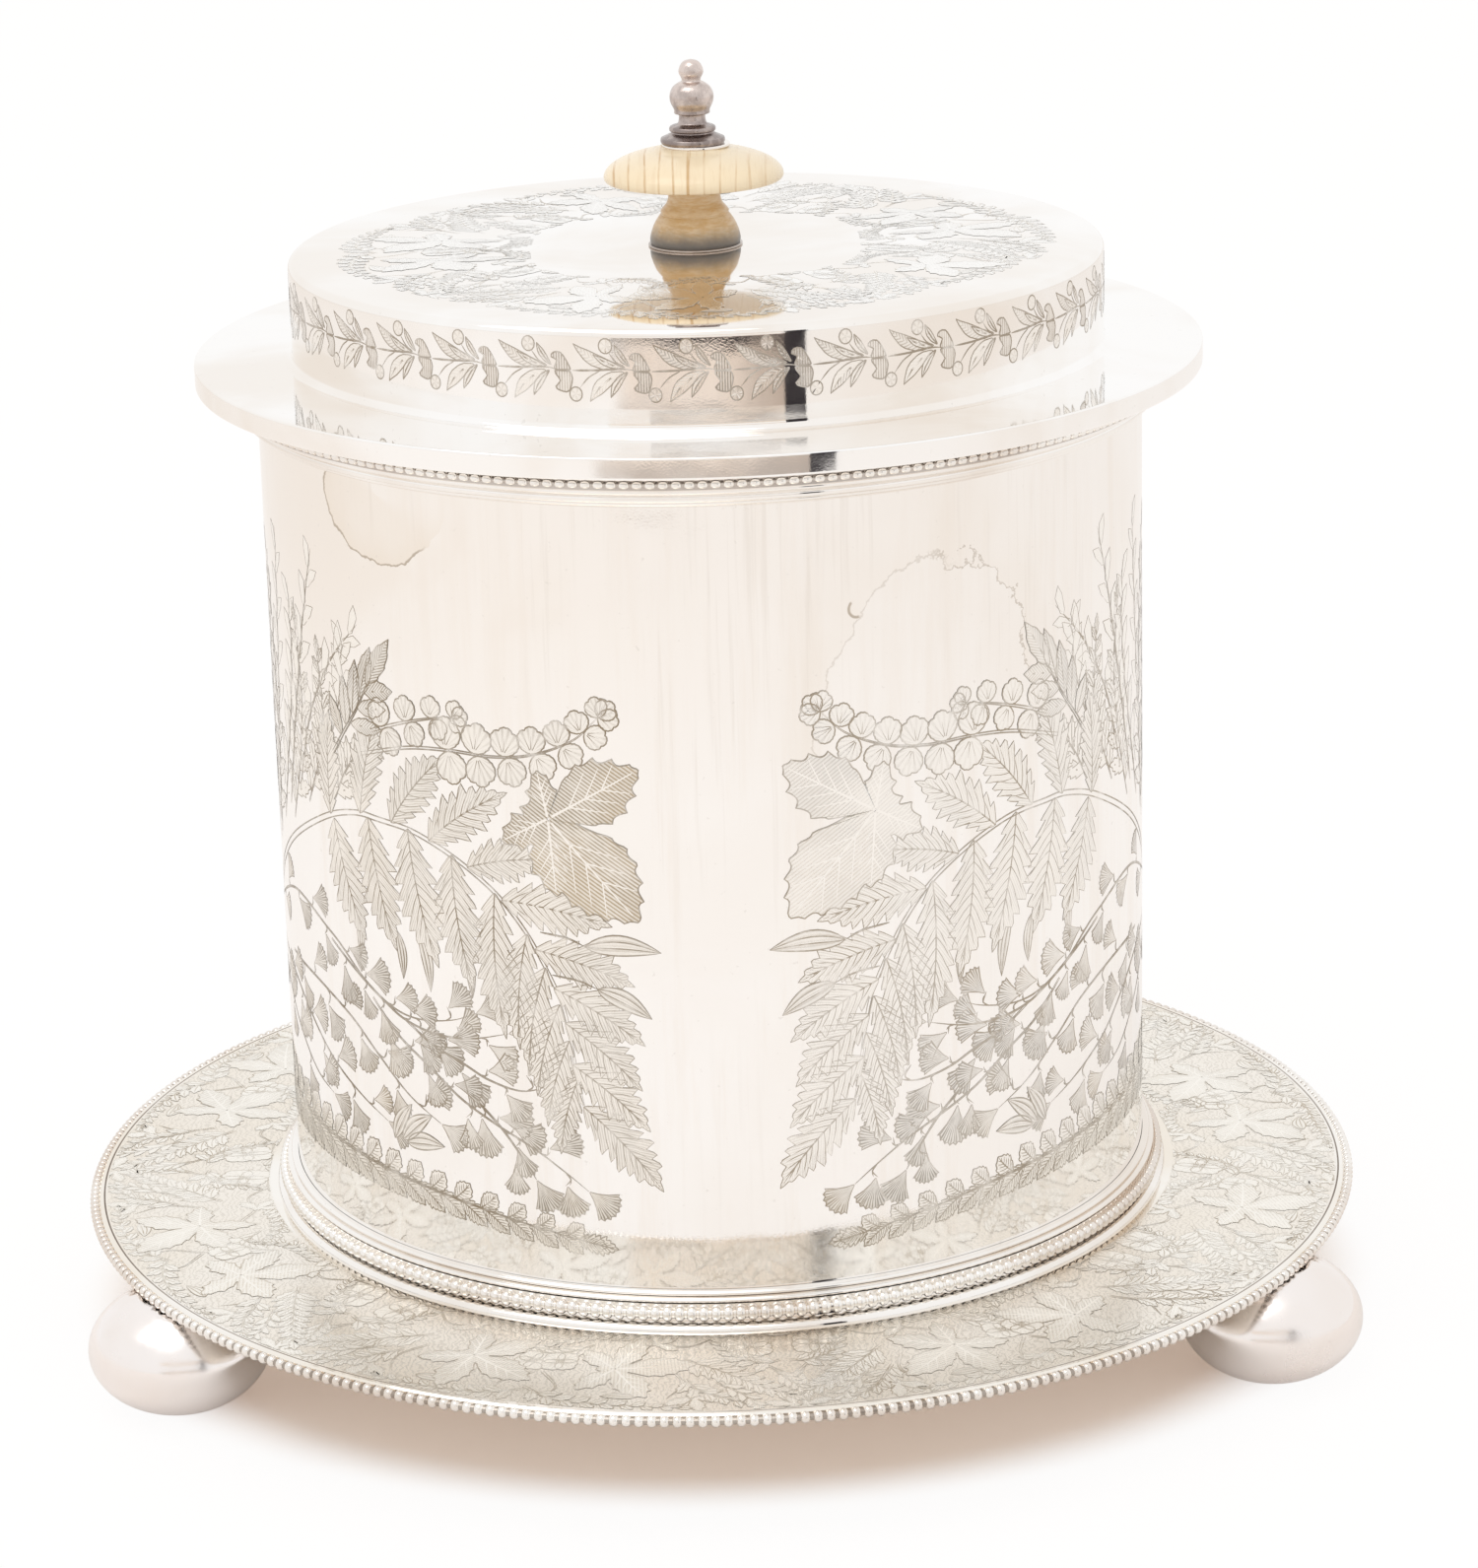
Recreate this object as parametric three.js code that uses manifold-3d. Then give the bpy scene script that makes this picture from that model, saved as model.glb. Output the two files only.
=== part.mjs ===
// Biscuit box: a straight plated barrel on a round tray with a beaded edge and three bun feet,
// and a lift-off lid with a broad brim, a low drum and a turned knob.
// Millimetres, +Z up. Heights are worked out from the table upwards, and the finished model is
// lowered at the end so that its origin is the centre of the floor inside the barrel.
import * as THREE from 'three';
import { mergeVertices } from 'three/addons/utils/BufferGeometryUtils.js';
import Module from 'manifold-3d';

const wasm = await Module();
wasm.setup();

// Driving dimensions
const barrelRadius = 73.6; // outside of the wall
const barrelHeight = 143.7; // from the tray to the rim that carries the lid
const trayShelf = 36.4; // how far the tray reaches out beyond the wall
const brimOverhang = 10; // how far the lid's brim reaches out beyond the wall
const crownSetback = 6.2; // how far the lid's drum stands back from the wall
const crownHeight = 16.2; // from the brim to the flat top
const footHeight = 20.6; // of the whole bun, before the tray is let into its top
const footRadius = 15.1;
const footInset = 5.5; // from the tray's reach in to the middle of a foot
const capRadius = 14.85; // mushroom cap of the knob
const trayRadius = barrelRadius + trayShelf; // to the outside of the beaded edge
const brimRadius = barrelRadius + brimOverhang;
const crownRadius = barrelRadius - crownSetback; // outside of the drum
const footCircleRadius = trayRadius - footInset;

// Metal thicknesses and clearances
const sheet = 1.2; // barrel and lid
const trayThickness = 1.4;
const footWall = 1.1;
const fitGap = 0.3; // between a piece and the one it is let into
const liftGap = 0.6; // round the collar of the lid, so that it lifts out freely
const lidSeatGap = 0.3; // between the barrel's rim and the brim that rests on it

// Finish of each kind of piece
const finishes = {
  silver: { color: 0xd9d2c6, roughness: 0.16, metalness: 1 },
  wornSilver: { color: 0xa8988c, roughness: 0.28, metalness: 1 },
  brass: { color: 0xb8924e, roughness: 0.35, metalness: 1 },
  bone: { color: 0xf0dcb4, roughness: 0.35, metalness: 0 },
  horn: { color: 0xb79c70, roughness: 0.45, metalness: 0 },
};

const ringSteps = 60; // flats round the barrel, tray and lid
const knobSteps = 24; // flats round the knob and the feet

const model = new THREE.Group();

function addPiece(name, geometry, finish) {
  const piece = new THREE.Mesh(geometry, new THREE.MeshStandardMaterial(finishes[finish]));
  piece.name = name;
  model.add(piece);
  return piece;
}

// A body turned about the Z axis. Its outline is a list of [radius, height], run anticlockwise.
// It starts and ends on the axis, or else it is closed here.
function turned(outline, steps) {
  const points = outline.map(([radius, height]) => new THREE.Vector2(radius, height));
  const onAxis = points[0].x === 0 && points[points.length - 1].x === 0;
  if (!onAxis) points.push(points[0].clone());
  return new THREE.LatheGeometry(points, steps).rotateX(Math.PI / 2);
}

// Points of an arc in an outline, from one angle to another, in degrees from the outward level.
function arc(centreRadius, centreHeight, reach, rise, fromAngle, toAngle, pieces) {
  const points = [];
  for (let i = 0; i <= pieces; i += 1) {
    const angle = THREE.MathUtils.degToRad(fromAngle + ((toAngle - fromAngle) * i) / pieces);
    points.push([centreRadius + reach * Math.cos(angle), centreHeight + rise * Math.sin(angle)]);
  }
  return points;
}

// A ring of oval section, which is the envelope of a row of beads
function beadRing(centreRadius, centreHeight, deep, tall) {
  const sides = 8;
  const outline = arc(centreRadius, centreHeight, deep / 2, tall / 2, 0, 360, sides);
  outline.pop();
  return turned(outline, ringSteps);
}

function washer(outerRadius, boreRadius, bottom, thickness) {
  const top = bottom + thickness;
  const outline = [[boreRadius, bottom], [outerRadius, bottom], [outerRadius, top], [boreRadius, top]];
  return turned(outline, knobSteps);
}

// Turns an outline given in shares of a radius and a height into real points
function fromShares(shares, radius, bottom, height) {
  return shares.map(([across, up]) => [radius * across, bottom + height * up]);
}

function solidOf(geometry) {
  const bare = geometry.clone();
  bare.deleteAttribute('normal');
  bare.deleteAttribute('uv');
  const merged = mergeVertices(bare);
  return new wasm.Manifold(new wasm.Mesh({
    numProp: 3,
    vertProperties: merged.attributes.position.array,
    triVerts: Uint32Array.from(merged.index.array),
  }));
}

function geometryOf(solid) {
  const mesh = solid.getMesh();
  const geometry = new THREE.BufferGeometry();
  geometry.setAttribute('position', new THREE.BufferAttribute(mesh.vertProperties, 3));
  geometry.setIndex(new THREE.BufferAttribute(mesh.triVerts, 1));
  return geometry;
}

// Tray: a flat disc let into the tops of the feet, with a beaded wire round its edge
const trayLetIn = 1; // how deep the tray's underside sits in a foot's top
const trayBead = 1.9; // thickness of the beaded wire
const trayBottom = footHeight - trayLetIn;
const trayTop = trayBottom + trayThickness;
const trayWireRadius = trayRadius - trayBead / 2;
const trayWireHeight = trayTop - trayBead / 2;
const trayEdge = trayWireRadius - trayBead / 2 - fitGap;
const wireSeat = trayTop - trayBead - fitGap; // how high a foot reaches below the wire

function makeTray() {
  const disc = [[0, trayBottom], [trayEdge, trayBottom], [trayEdge, trayTop], [0, trayTop]];
  addPiece('tray', turned(disc, ringSteps), 'silver');
  addPiece('tray_bead_wire', beadRing(trayWireRadius, trayWireHeight, trayBead, trayBead), 'silver');
}

// Feet: three oblate buns, each of two stamped half shells. The upper shell is cut to the tray,
// and its hollow ends a wall's thickness below that cut.
const footFlat = 3.6; // radius of the flat that a foot stands on
const footArcPieces = 5;
const footPlaces = [
  { name: 'front_left', angle: -150 },
  { name: 'front_right', angle: -30 },
  { name: 'rear', angle: 90 },
];

function footShell(side) {
  const middle = footHeight / 2;
  const rise = (middle / Math.sqrt(1 - (footFlat / footRadius) ** 2)) * side;
  const poleAngle = THREE.MathUtils.radToDeg(Math.acos(footFlat / footRadius));
  const outer = arc(0, middle, footRadius, rise, 0, poleAngle, footArcPieces);
  const innerReach = footRadius - footWall;
  const innerEnd = side > 0 ? wireSeat - footWall : footWall;
  const inner = arc(0, middle, innerReach, innerEnd - middle, 90, 0, footArcPieces);
  inner[0][0] = 0;
  const outline = [...inner, ...outer, [0, middle + middle * side]];
  return turned(side > 0 ? outline : outline.reverse(), knobSteps);
}

function trayEnvelope() {
  const above = footHeight + trayThickness;
  return turned([
    [0, trayBottom - fitGap],
    [trayEdge, trayBottom - fitGap],
    [trayEdge, wireSeat],
    [trayRadius + fitGap, wireSeat],
    [trayRadius + fitGap, above],
    [0, above],
  ], ringSteps);
}

function makeFeet() {
  const upper = footShell(1);
  const lower = footShell(-1);
  const envelope = solidOf(trayEnvelope());
  for (const { name, angle } of footPlaces) {
    const turn = THREE.MathUtils.degToRad(angle);
    const x = footCircleRadius * Math.cos(turn);
    const y = footCircleRadius * Math.sin(turn);
    const cut = solidOf(upper.clone().translate(x, y, 0)).subtract(envelope);
    addPiece(`foot_${name}_upper`, geometryOf(cut), 'silver');
    addPiece(`foot_${name}_lower`, lower, 'silver').position.set(x, y, 0);
  }
}

// Barrel: a straight wall and a floor disc that stands on the tray inside it
const barrelTop = trayTop + barrelHeight;
const barrelInside = barrelRadius - sheet;
const floorTop = trayTop + sheet;

function makeBarrel() {
  const wall = [
    [barrelInside, trayTop],
    [barrelRadius, trayTop],
    [barrelRadius, barrelTop],
    [barrelInside, barrelTop],
  ];
  const floorRadius = barrelInside - fitGap;
  const floor = [[0, trayTop], [floorRadius, trayTop], [floorRadius, floorTop], [0, floorTop]];
  addPiece('barrel_wall', turned(wall, ringSteps), 'silver');
  addPiece('barrel_floor', turned(floor, ringSteps), 'silver');
}

// Base moulding: a rounded step on the tray, a recess with tall beads, and two rolls above it
const baseStepWidth = 3.6;
const baseStepHeight = 1.05;
const baseBeadDeep = 1.9;
const baseBeadTall = 2.4;
const baseRollWidth = 1.7;
const baseRollHeight = 1.8;
const baseBeadInset = 0.5; // from the step's reach to the front of the beads
const baseStepShares = [[1, 0], [0.97, 0.6], [0.76, 1]];
const baseRollShares = [[0.9, 0], [1, 0.2], [0.82, 0.42], [0.5, 0.5], [0.6, 0.75], [0.36, 1]];

function makeBaseMoulding() {
  const inside = barrelRadius + fitGap;
  const step = baseStepShares.map(([across, up]) => [
    inside + baseStepWidth * across,
    trayTop + baseStepHeight * up,
  ]);
  const beadRadius = inside + baseStepWidth - baseBeadInset - baseBeadDeep / 2;
  const beadHeight = trayTop + baseStepHeight + fitGap + baseBeadTall / 2;
  const recess = beadRadius - baseBeadDeep / 2 - fitGap;
  const rollBottom = beadHeight + baseBeadTall / 2 + fitGap;
  const rolls = baseRollShares.map(([across, up]) => [
    inside + baseRollWidth * across,
    rollBottom + baseRollHeight * up,
  ]);
  const outline = [
    [inside, trayTop],
    ...step,
    [recess, trayTop + baseStepHeight],
    [recess, rollBottom],
    ...rolls,
    [inside, rollBottom + baseRollHeight],
  ];
  addPiece('base_moulding', turned(outline, ringSteps), 'silver');
  addPiece('base_bead_wire', beadRing(beadRadius, beadHeight, baseBeadDeep, baseBeadTall), 'silver');
}

// Rim moulding: a plate flush with the rim, a recess with small beads, then reeds down to the wall
const rimPlateWidth = 5.9;
const rimPlateHeight = 2.9;
const rimBead = 1.44;
const rimBeadInset = 0.9; // from the plate's reach to the front of the beads
const rimReedWidth = 2.7;
const rimReedHeight = 3.7;
const rimReedShares = [
  [0.2, 0.08], [0.4, 0.28], [0.66, 0.36], [0.78, 0.55], [0.74, 0.66], [0.96, 0.8], [1, 1],
];

function makeRimMoulding() {
  const inside = barrelRadius + fitGap;
  const plateBottom = barrelTop - rimPlateHeight;
  const beadRadius = inside + rimPlateWidth - rimBeadInset - rimBead / 2;
  const beadHeight = plateBottom - fitGap - rimBead / 2;
  const recess = beadRadius - rimBead / 2 - fitGap;
  const reedTop = beadHeight - rimBead / 2 - fitGap;
  const reedBottom = reedTop - rimReedHeight;
  const reeds = rimReedShares.map(([across, up]) => [
    inside + rimReedWidth * across,
    reedBottom + rimReedHeight * up,
  ]);
  const outline = [
    [inside, reedBottom],
    ...reeds,
    [recess, reedTop],
    [recess, plateBottom],
    [inside + rimPlateWidth, plateBottom],
    [inside + rimPlateWidth, barrelTop],
    [inside, barrelTop],
  ];
  addPiece('rim_moulding', turned(outline, ringSteps), 'silver');
  addPiece('rim_bead_wire', beadRing(beadRadius, beadHeight, rimBead, rimBead), 'silver');
}

// Lid: a brim with a turned-down edge, the drum on it, and the collar below that centres it
const brimEdgeHeight = 3.5;
const brimEdgeRound = 0.3;
const crownShoulder = 1.9; // radius of the drum's upper edge
const crownFlare = 1.3; // how far the drum's foot spreads onto the brim
const bezelHeight = 9;
const bezelThickness = 1;
const boltClearance = 0.3; // between the rod and the holes it passes through
const rodRadius = 1.5;
const rodHole = rodRadius + boltClearance;
const brimBottom = barrelTop + lidSeatGap;
const brimTop = brimBottom + sheet;
const crownTop = brimTop + crownHeight;
const crownInside = crownRadius - sheet;

function makeLid() {
  const edgeBottom = brimTop - brimEdgeHeight;
  const brim = [
    [crownInside, brimBottom],
    [brimRadius - sheet, brimBottom],
    [brimRadius - sheet, edgeBottom],
    [brimRadius, edgeBottom],
    [brimRadius, brimTop - brimEdgeRound],
    [brimRadius - brimEdgeRound, brimTop],
    [crownInside, brimTop],
  ];
  addPiece('lid_brim', turned(brim, ringSteps), 'silver');

  const foot = arc(crownRadius + crownFlare, brimTop + crownFlare, crownFlare, crownFlare, 270, 180, 2);
  const shoulderMiddle = crownRadius - crownShoulder;
  const shoulderHeight = crownTop - crownShoulder;
  const innerShoulder = Math.max(crownShoulder - sheet, 0);
  const crown = [
    [crownInside, brimTop],
    ...foot,
    ...arc(shoulderMiddle, shoulderHeight, crownShoulder, crownShoulder, 0, 90, 3),
    [rodHole, crownTop],
    [rodHole, crownTop - sheet],
    ...arc(shoulderMiddle, shoulderHeight, innerShoulder, innerShoulder, 90, 0, 1),
  ];
  addPiece('lid_crown', turned(crown, ringSteps), 'silver');

  const bezelOutside = barrelInside - liftGap;
  const bezelInside = bezelOutside - bezelThickness;
  const bezelBottom = brimBottom - bezelHeight;
  const bezel = [
    [bezelInside, bezelBottom],
    [bezelOutside, bezelBottom],
    [bezelOutside, brimBottom],
    [bezelInside, brimBottom],
  ];
  addPiece('lid_bezel', turned(bezel, ringSteps), 'silver');
}

// Knob: rose, stem, cap, washer and finial, stacked on the lid and pulled together by one rod
const roseRadius = 7.8;
const roseThickness = 0.4;
const stemRadius = 7.5;
const stemHeight = 10.4;
const capHeight = 5.6;
const capEdge = 0.8; // height of the cap's rounded rim
const washerRadius = 5.6;
const washerThickness = 0.5;
const finialRadius = 5.3;
const finialHeight = 13.8;
const finialSocket = 5; // how deep the rod screws into the finial
const nutWasherRadius = 4;
const nutWasherThickness = 0.8;
const nutAcross = 6; // across the corners, halved below
const nutHeight = 2.4;
const rodEnd = 1.2; // what shows of the rod below the nut
const stemShares = [
  [0.98, 0], [1, 0.06], [0.973, 0.17], [0.893, 0.32], [0.787, 0.44], [0.74, 0.47], [0.753, 0.5],
  [0.733, 0.54], [0.627, 0.63], [0.58, 0.73], [0.57, 0.87], [0.6, 1],
];
const finialShares = [
  [0.962, 0], [1, 0.025], [0.99, 0.065], [0.92, 0.08], [0.7, 0.12], [0.66, 0.145], [0.717, 0.155],
  [0.717, 0.19], [0.66, 0.21], [0.47, 0.235], [0.415, 0.29], [0.425, 0.35], [0.55, 0.36],
  [0.557, 0.405], [0.66, 0.49], [0.68, 0.58], [0.585, 0.67], [0.396, 0.725], [0.305, 0.74],
  [0.305, 0.775], [0.387, 0.85], [0.32, 0.935], [0.198, 0.98], [0, 1],
];
const stemBottom = crownTop + roseThickness;
const capBottom = stemBottom + stemHeight;
const capTop = capBottom + capHeight;
const finialBottom = capTop + washerThickness;
const nutWasherBottom = crownTop - sheet - nutWasherThickness;
const nutBottom = nutWasherBottom - nutHeight;

function capOutline() {
  const seatAngle = Math.acos(washerRadius / capRadius);
  const rise = (capHeight - capEdge) / Math.sin(seatAngle);
  const edgeHeight = capBottom + capEdge;
  const dome = arc(0, edgeHeight, capRadius, rise, 0, THREE.MathUtils.radToDeg(seatAngle), 6);
  const rim = arc(capRadius - capEdge, edgeHeight, capEdge, capEdge, 270, 315, 1);
  return [[rodHole, capBottom], ...rim, ...dome, [rodHole, capTop]];
}

function hexagonNut() {
  const shape = new THREE.Shape();
  const hole = new THREE.Path();
  const corners = 6;
  for (let i = 0; i < corners; i += 1) {
    const angle = (i * 2 * Math.PI) / corners;
    const x = (nutAcross / 2) * Math.cos(angle);
    const y = (nutAcross / 2) * Math.sin(angle);
    if (i === 0) shape.moveTo(x, y);
    else shape.lineTo(x, y);
  }
  shape.closePath();
  hole.absarc(0, 0, rodHole, 0, 2 * Math.PI, true);
  shape.holes.push(hole);
  const options = { depth: nutHeight, bevelEnabled: false, curveSegments: knobSteps };
  return new THREE.ExtrudeGeometry(shape, options).translate(0, 0, nutBottom);
}

function makeKnob() {
  const stem = fromShares(stemShares, stemRadius, stemBottom, stemHeight);
  stem.unshift([rodHole, stemBottom]);
  stem.push([rodHole, capBottom]);
  const socketTop = finialBottom + finialSocket;
  const finial = fromShares(finialShares, finialRadius, finialBottom, finialHeight);
  finial.unshift([0, socketTop], [rodHole, socketTop], [rodHole, finialBottom]);
  const rodBottom = nutBottom - rodEnd;
  const rodTop = socketTop - fitGap;
  const rod = [[0, rodBottom], [rodRadius, rodBottom], [rodRadius, rodTop], [0, rodTop]];

  addPiece('knob_rose', washer(roseRadius, rodHole, crownTop, roseThickness), 'silver');
  addPiece('knob_stem', turned(stem, knobSteps), 'horn');
  addPiece('knob_cap', turned(capOutline(), knobSteps), 'bone');
  addPiece('knob_washer', washer(washerRadius, rodHole, capTop, washerThickness), 'silver');
  addPiece('knob_finial', turned(finial, knobSteps), 'wornSilver');
  addPiece('knob_rod', turned(rod, knobSteps), 'brass');
  addPiece('knob_nut_washer', washer(nutWasherRadius, rodHole, nutWasherBottom, nutWasherThickness), 'brass');
  addPiece('knob_nut', hexagonNut(), 'brass');
}

makeTray();
makeFeet();
makeBarrel();
makeBaseMoulding();
makeRimMoulding();
makeLid();
makeKnob();
model.position.z = -floorTop;

export default model;
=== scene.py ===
import math
import random

import bpy
import numpy as np
from mathutils import Matrix, Vector


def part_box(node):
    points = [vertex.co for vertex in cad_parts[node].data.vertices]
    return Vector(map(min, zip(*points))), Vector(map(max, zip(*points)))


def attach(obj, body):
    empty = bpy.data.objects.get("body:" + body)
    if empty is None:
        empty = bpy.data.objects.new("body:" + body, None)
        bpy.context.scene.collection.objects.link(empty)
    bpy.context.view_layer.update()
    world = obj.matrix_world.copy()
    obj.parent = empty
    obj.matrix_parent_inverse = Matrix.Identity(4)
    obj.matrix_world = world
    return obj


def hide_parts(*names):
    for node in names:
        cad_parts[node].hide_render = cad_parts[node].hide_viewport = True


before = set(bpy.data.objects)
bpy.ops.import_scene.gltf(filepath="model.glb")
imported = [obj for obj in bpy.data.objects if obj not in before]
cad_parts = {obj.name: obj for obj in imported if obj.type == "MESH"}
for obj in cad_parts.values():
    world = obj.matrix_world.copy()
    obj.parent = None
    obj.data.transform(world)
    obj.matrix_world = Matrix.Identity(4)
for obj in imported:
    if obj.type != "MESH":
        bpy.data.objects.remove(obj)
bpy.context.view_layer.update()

# Engraved silver-plated biscuit box. Metres, +Z up, origin at the middle of the barrel's floor.
mm = 0.001


def corners(nodeName):
    low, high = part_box(nodeName)
    return [float(v) for v in low], [float(v) for v in high]


def reach(nodeName):
    return corners(nodeName)[1][0]


def bottomOf(nodeName):
    return corners(nodeName)[0][2]


def topOf(nodeName):
    return corners(nodeName)[1][2]


# sizes that several pieces share, all read from the frame
trayRadius = reach("tray_bead_wire")
trayTop = topOf("tray")
trayBottom = bottomOf("tray")
wallRadius = reach("barrel_wall")
rimTop = topOf("barrel_wall")
brimRadius = reach("lid_brim")
brimTop = topOf("lid_brim")
crownTop = topOf("lid_crown")
ground = bottomOf("foot_rear_lower")


# Camera

camera = {
    "distance": 790.9 * mm,       # in front of the axis
    "height": 313.7 * mm,         # above the barrel's floor
    "pitch": 17.36,               # degrees down
    "yaw": 0.35,
    "roll": -1.5,
    "focalPixels": 4910,          # on a picture of the height below
    "pictureHeight": 1591,
    "sensor": 36,
}


def makeCamera():
    data = bpy.data.cameras.new("view_camera")
    data.sensor_fit = "VERTICAL"
    data.sensor_height = camera["sensor"]
    data.lens = camera["focalPixels"] * camera["sensor"] / camera["pictureHeight"]
    data.clip_start = 0.05
    data.clip_end = 20
    eye = bpy.data.objects.new("view_camera", data)
    pitch, yaw, roll = (math.radians(camera[k]) for k in ("pitch", "yaw", "roll"))
    forward = Vector((math.sin(yaw) * math.cos(pitch), math.cos(yaw) * math.cos(pitch), -math.sin(pitch)))
    right = Vector((math.cos(yaw), -math.sin(yaw), 0))
    up = right.cross(forward)
    tiltedRight = math.cos(roll) * right + math.sin(roll) * up
    tiltedUp = -math.sin(roll) * right + math.cos(roll) * up
    turn = Matrix((tiltedRight, tiltedUp, -forward)).transposed().to_4x4()
    eye.matrix_world = Matrix.Translation((0, -camera["distance"], camera["height"])) @ turn
    bpy.context.scene.collection.objects.link(eye)
    bpy.context.scene.camera = eye


# Shader nodes

def feed(tree, socket, value):
    if isinstance(value, bpy.types.NodeSocket):
        tree.links.new(value, socket)
    else:
        socket.default_value = value


def node(tree, kind, inputs=None, **settings):
    made = tree.nodes.new("ShaderNode" + kind)
    for key, value in settings.items():
        setattr(made, key, value)
    for key, value in (inputs or {}).items():
        feed(tree, made.inputs[key], value)
    return made


def calc(tree, operation, a, b=0.0, clamp=False):
    return node(tree, "Math", {0: a, 1: b}, operation=operation, use_clamp=clamp).outputs[0]


def times(tree, first, *others):
    for other in others:
        first = calc(tree, "MULTIPLY", first, other)
    return first


def vectorCalc(tree, operation, *inputs):
    made = node(tree, "VectorMath", dict(enumerate(inputs)), operation=operation)
    return made.outputs[1 if operation in ("LENGTH", "DOT_PRODUCT") else 0]


def place(tree, scale=(1, 1, 1)):    # position on the object in centimetres
    spot = node(tree, "TexCoord").outputs["Object"]
    return node(tree, "Mapping", {"Vector": spot, "Scale": tuple(100 * s for s in scale)}).outputs[0]


def noise(tree, vector, scale, detail=3.0, rough=0.5, distortion=0.0):
    inputs = {"Vector": vector, "Scale": scale, "Detail": detail, "Roughness": rough,
              "Distortion": distortion}
    return node(tree, "TexNoise", inputs).outputs["Fac"]


def ramp(tree, value, low, high, outLow=0.0, outHigh=1.0):
    inputs = {"Value": value, "From Min": low, "From Max": high, "To Min": outLow, "To Max": outHigh}
    return node(tree, "MapRange", inputs, interpolation_type="SMOOTHSTEP").outputs[0]


def blendColour(tree, factor, first, second, how="MIX"):
    made = tree.nodes.new("ShaderNodeMix")
    made.data_type = "RGBA"
    made.blend_type = how
    feed(tree, made.inputs[0], factor)
    feed(tree, made.inputs[6], first if isinstance(first, bpy.types.NodeSocket) else (*first, 1))
    feed(tree, made.inputs[7], second if isinstance(second, bpy.types.NodeSocket) else (*second, 1))
    return made.outputs[2]


def newMaterial(name, look):
    made = bpy.data.materials.new(name)
    made.use_nodes = True
    tree = made.node_tree
    tree.nodes.clear()
    out = tree.nodes.new("ShaderNodeOutputMaterial")
    shader = tree.nodes.new("ShaderNodeBsdfPrincipled")
    tree.links.new(shader.outputs[0], out.inputs[0])
    for key, value in look.items():
        shader.inputs[key].default_value = value
    return made, tree, shader


def paint(tree, shader, colour, roughness=None):
    feed(tree, shader.inputs["Base Color"], colour)
    if roughness is not None:
        feed(tree, shader.inputs["Roughness"], roughness)


def addBump(tree, shader, height, strength, distance):
    bump = node(tree, "Bump", {"Height": height, "Strength": strength, "Distance": distance})
    feed(tree, shader.inputs["Normal"], bump.outputs[0])


# Mesh making

def meshObject(name, verts, faces, material=None):
    mesh = bpy.data.meshes.new(name)
    mesh.from_pydata([tuple(map(float, v)) for v in verts], [], faces)
    mesh.update()
    thing = bpy.data.objects.new(name, mesh)
    bpy.context.scene.collection.objects.link(thing)
    if material:
        mesh.materials.append(material)
    return thing


def arcPoints(radius, height, across, up, start, end, pieces):
    angles = [math.radians(start + (end - start) * i / pieces) for i in range(pieces + 1)]
    return [(radius + across * math.cos(a), height + up * math.sin(a)) for a in angles]


# a smooth line through complex points, split by length or into as many pieces between each two
def spline(points, step=0.7, pieces=None):
    p = np.array(points, dtype=complex)
    if len(p) < 3:
        count = max(2, int(abs(p[-1] - p[0]) / step) + 1)
        return p[0] + (p[-1] - p[0]) * np.linspace(0, 1, count)
    p = np.concatenate(([2 * p[0] - p[1]], p, [2 * p[-1] - p[-2]]))
    parts = []
    for p0, p1, p2, p3 in zip(p, p[1:], p[2:], p[3:]):
        count = pieces or max(2, int(abs(p2 - p1) / step + 0.5))
        t = np.arange(count) / count
        parts.append(0.5 * ((2 * p1) + (p2 - p0) * t + (2 * p0 - 5 * p1 + 4 * p2 - p3) * t ** 2
                            + (3 * p1 - p0 - 3 * p2 + p3) * t ** 3))
    return np.concatenate(parts + [p[-2:-1]])


# rounds the corners of a closed outline, each by its own radius
def filleted(points, radii, pieces=4):
    rounded = []
    for i, (corner, radius) in enumerate(zip(points, radii)):
        here = Vector(corner)
        if radius <= 0:
            rounded.append(tuple(here))
            continue
        before = (Vector(points[i - 1]) - here).normalized()
        after = (Vector(points[(i + 1) % len(points)]) - here).normalized()
        half = math.acos(max(-1, min(1, before.dot(after)))) / 2
        cut = radius / math.tan(half)
        start, end = here + before * cut, here + after * cut
        for k in range(pieces + 1):
            t = k / pieces
            rounded.append(tuple((1 - t) ** 2 * start + 2 * t * (1 - t) * here + t * t * end))
    return rounded


# turns an outline of (radius, height), run anticlockwise, about the Z axis
def lathe(name, outline, material, steps=256, closed=True, smoothAngle=35):
    verts, faces, rings = [], [], []
    for radius, height in outline:
        if radius < 1e-7:
            rings.append([len(verts)] * steps)
            verts.append((0, 0, height))
            continue
        rings.append(list(range(len(verts), len(verts) + steps)))
        for j in range(steps):
            angle = 2 * math.pi * j / steps
            verts.append((radius * math.cos(angle), radius * math.sin(angle), height))
    for lower, upper in zip(rings, rings[1:] + (rings[:1] if closed else [])):
        for j in range(steps):
            k = (j + 1) % steps
            face = list(dict.fromkeys((lower[j], lower[k], upper[k], upper[j])))
            if len(face) > 2:
                faces.append(face)
    piece = meshObject(name, verts, faces, material)
    piece.data.shade_smooth()
    piece.data.set_sharp_from_angle(angle=math.radians(smoothAngle))
    return piece


def settle(piece, body, slotName, *nodes):
    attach(piece, body)
    if nodes:
        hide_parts(*nodes)
    return piece


beadFullness = 0.6                # 1 is round, less is fuller towards the ends


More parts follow.
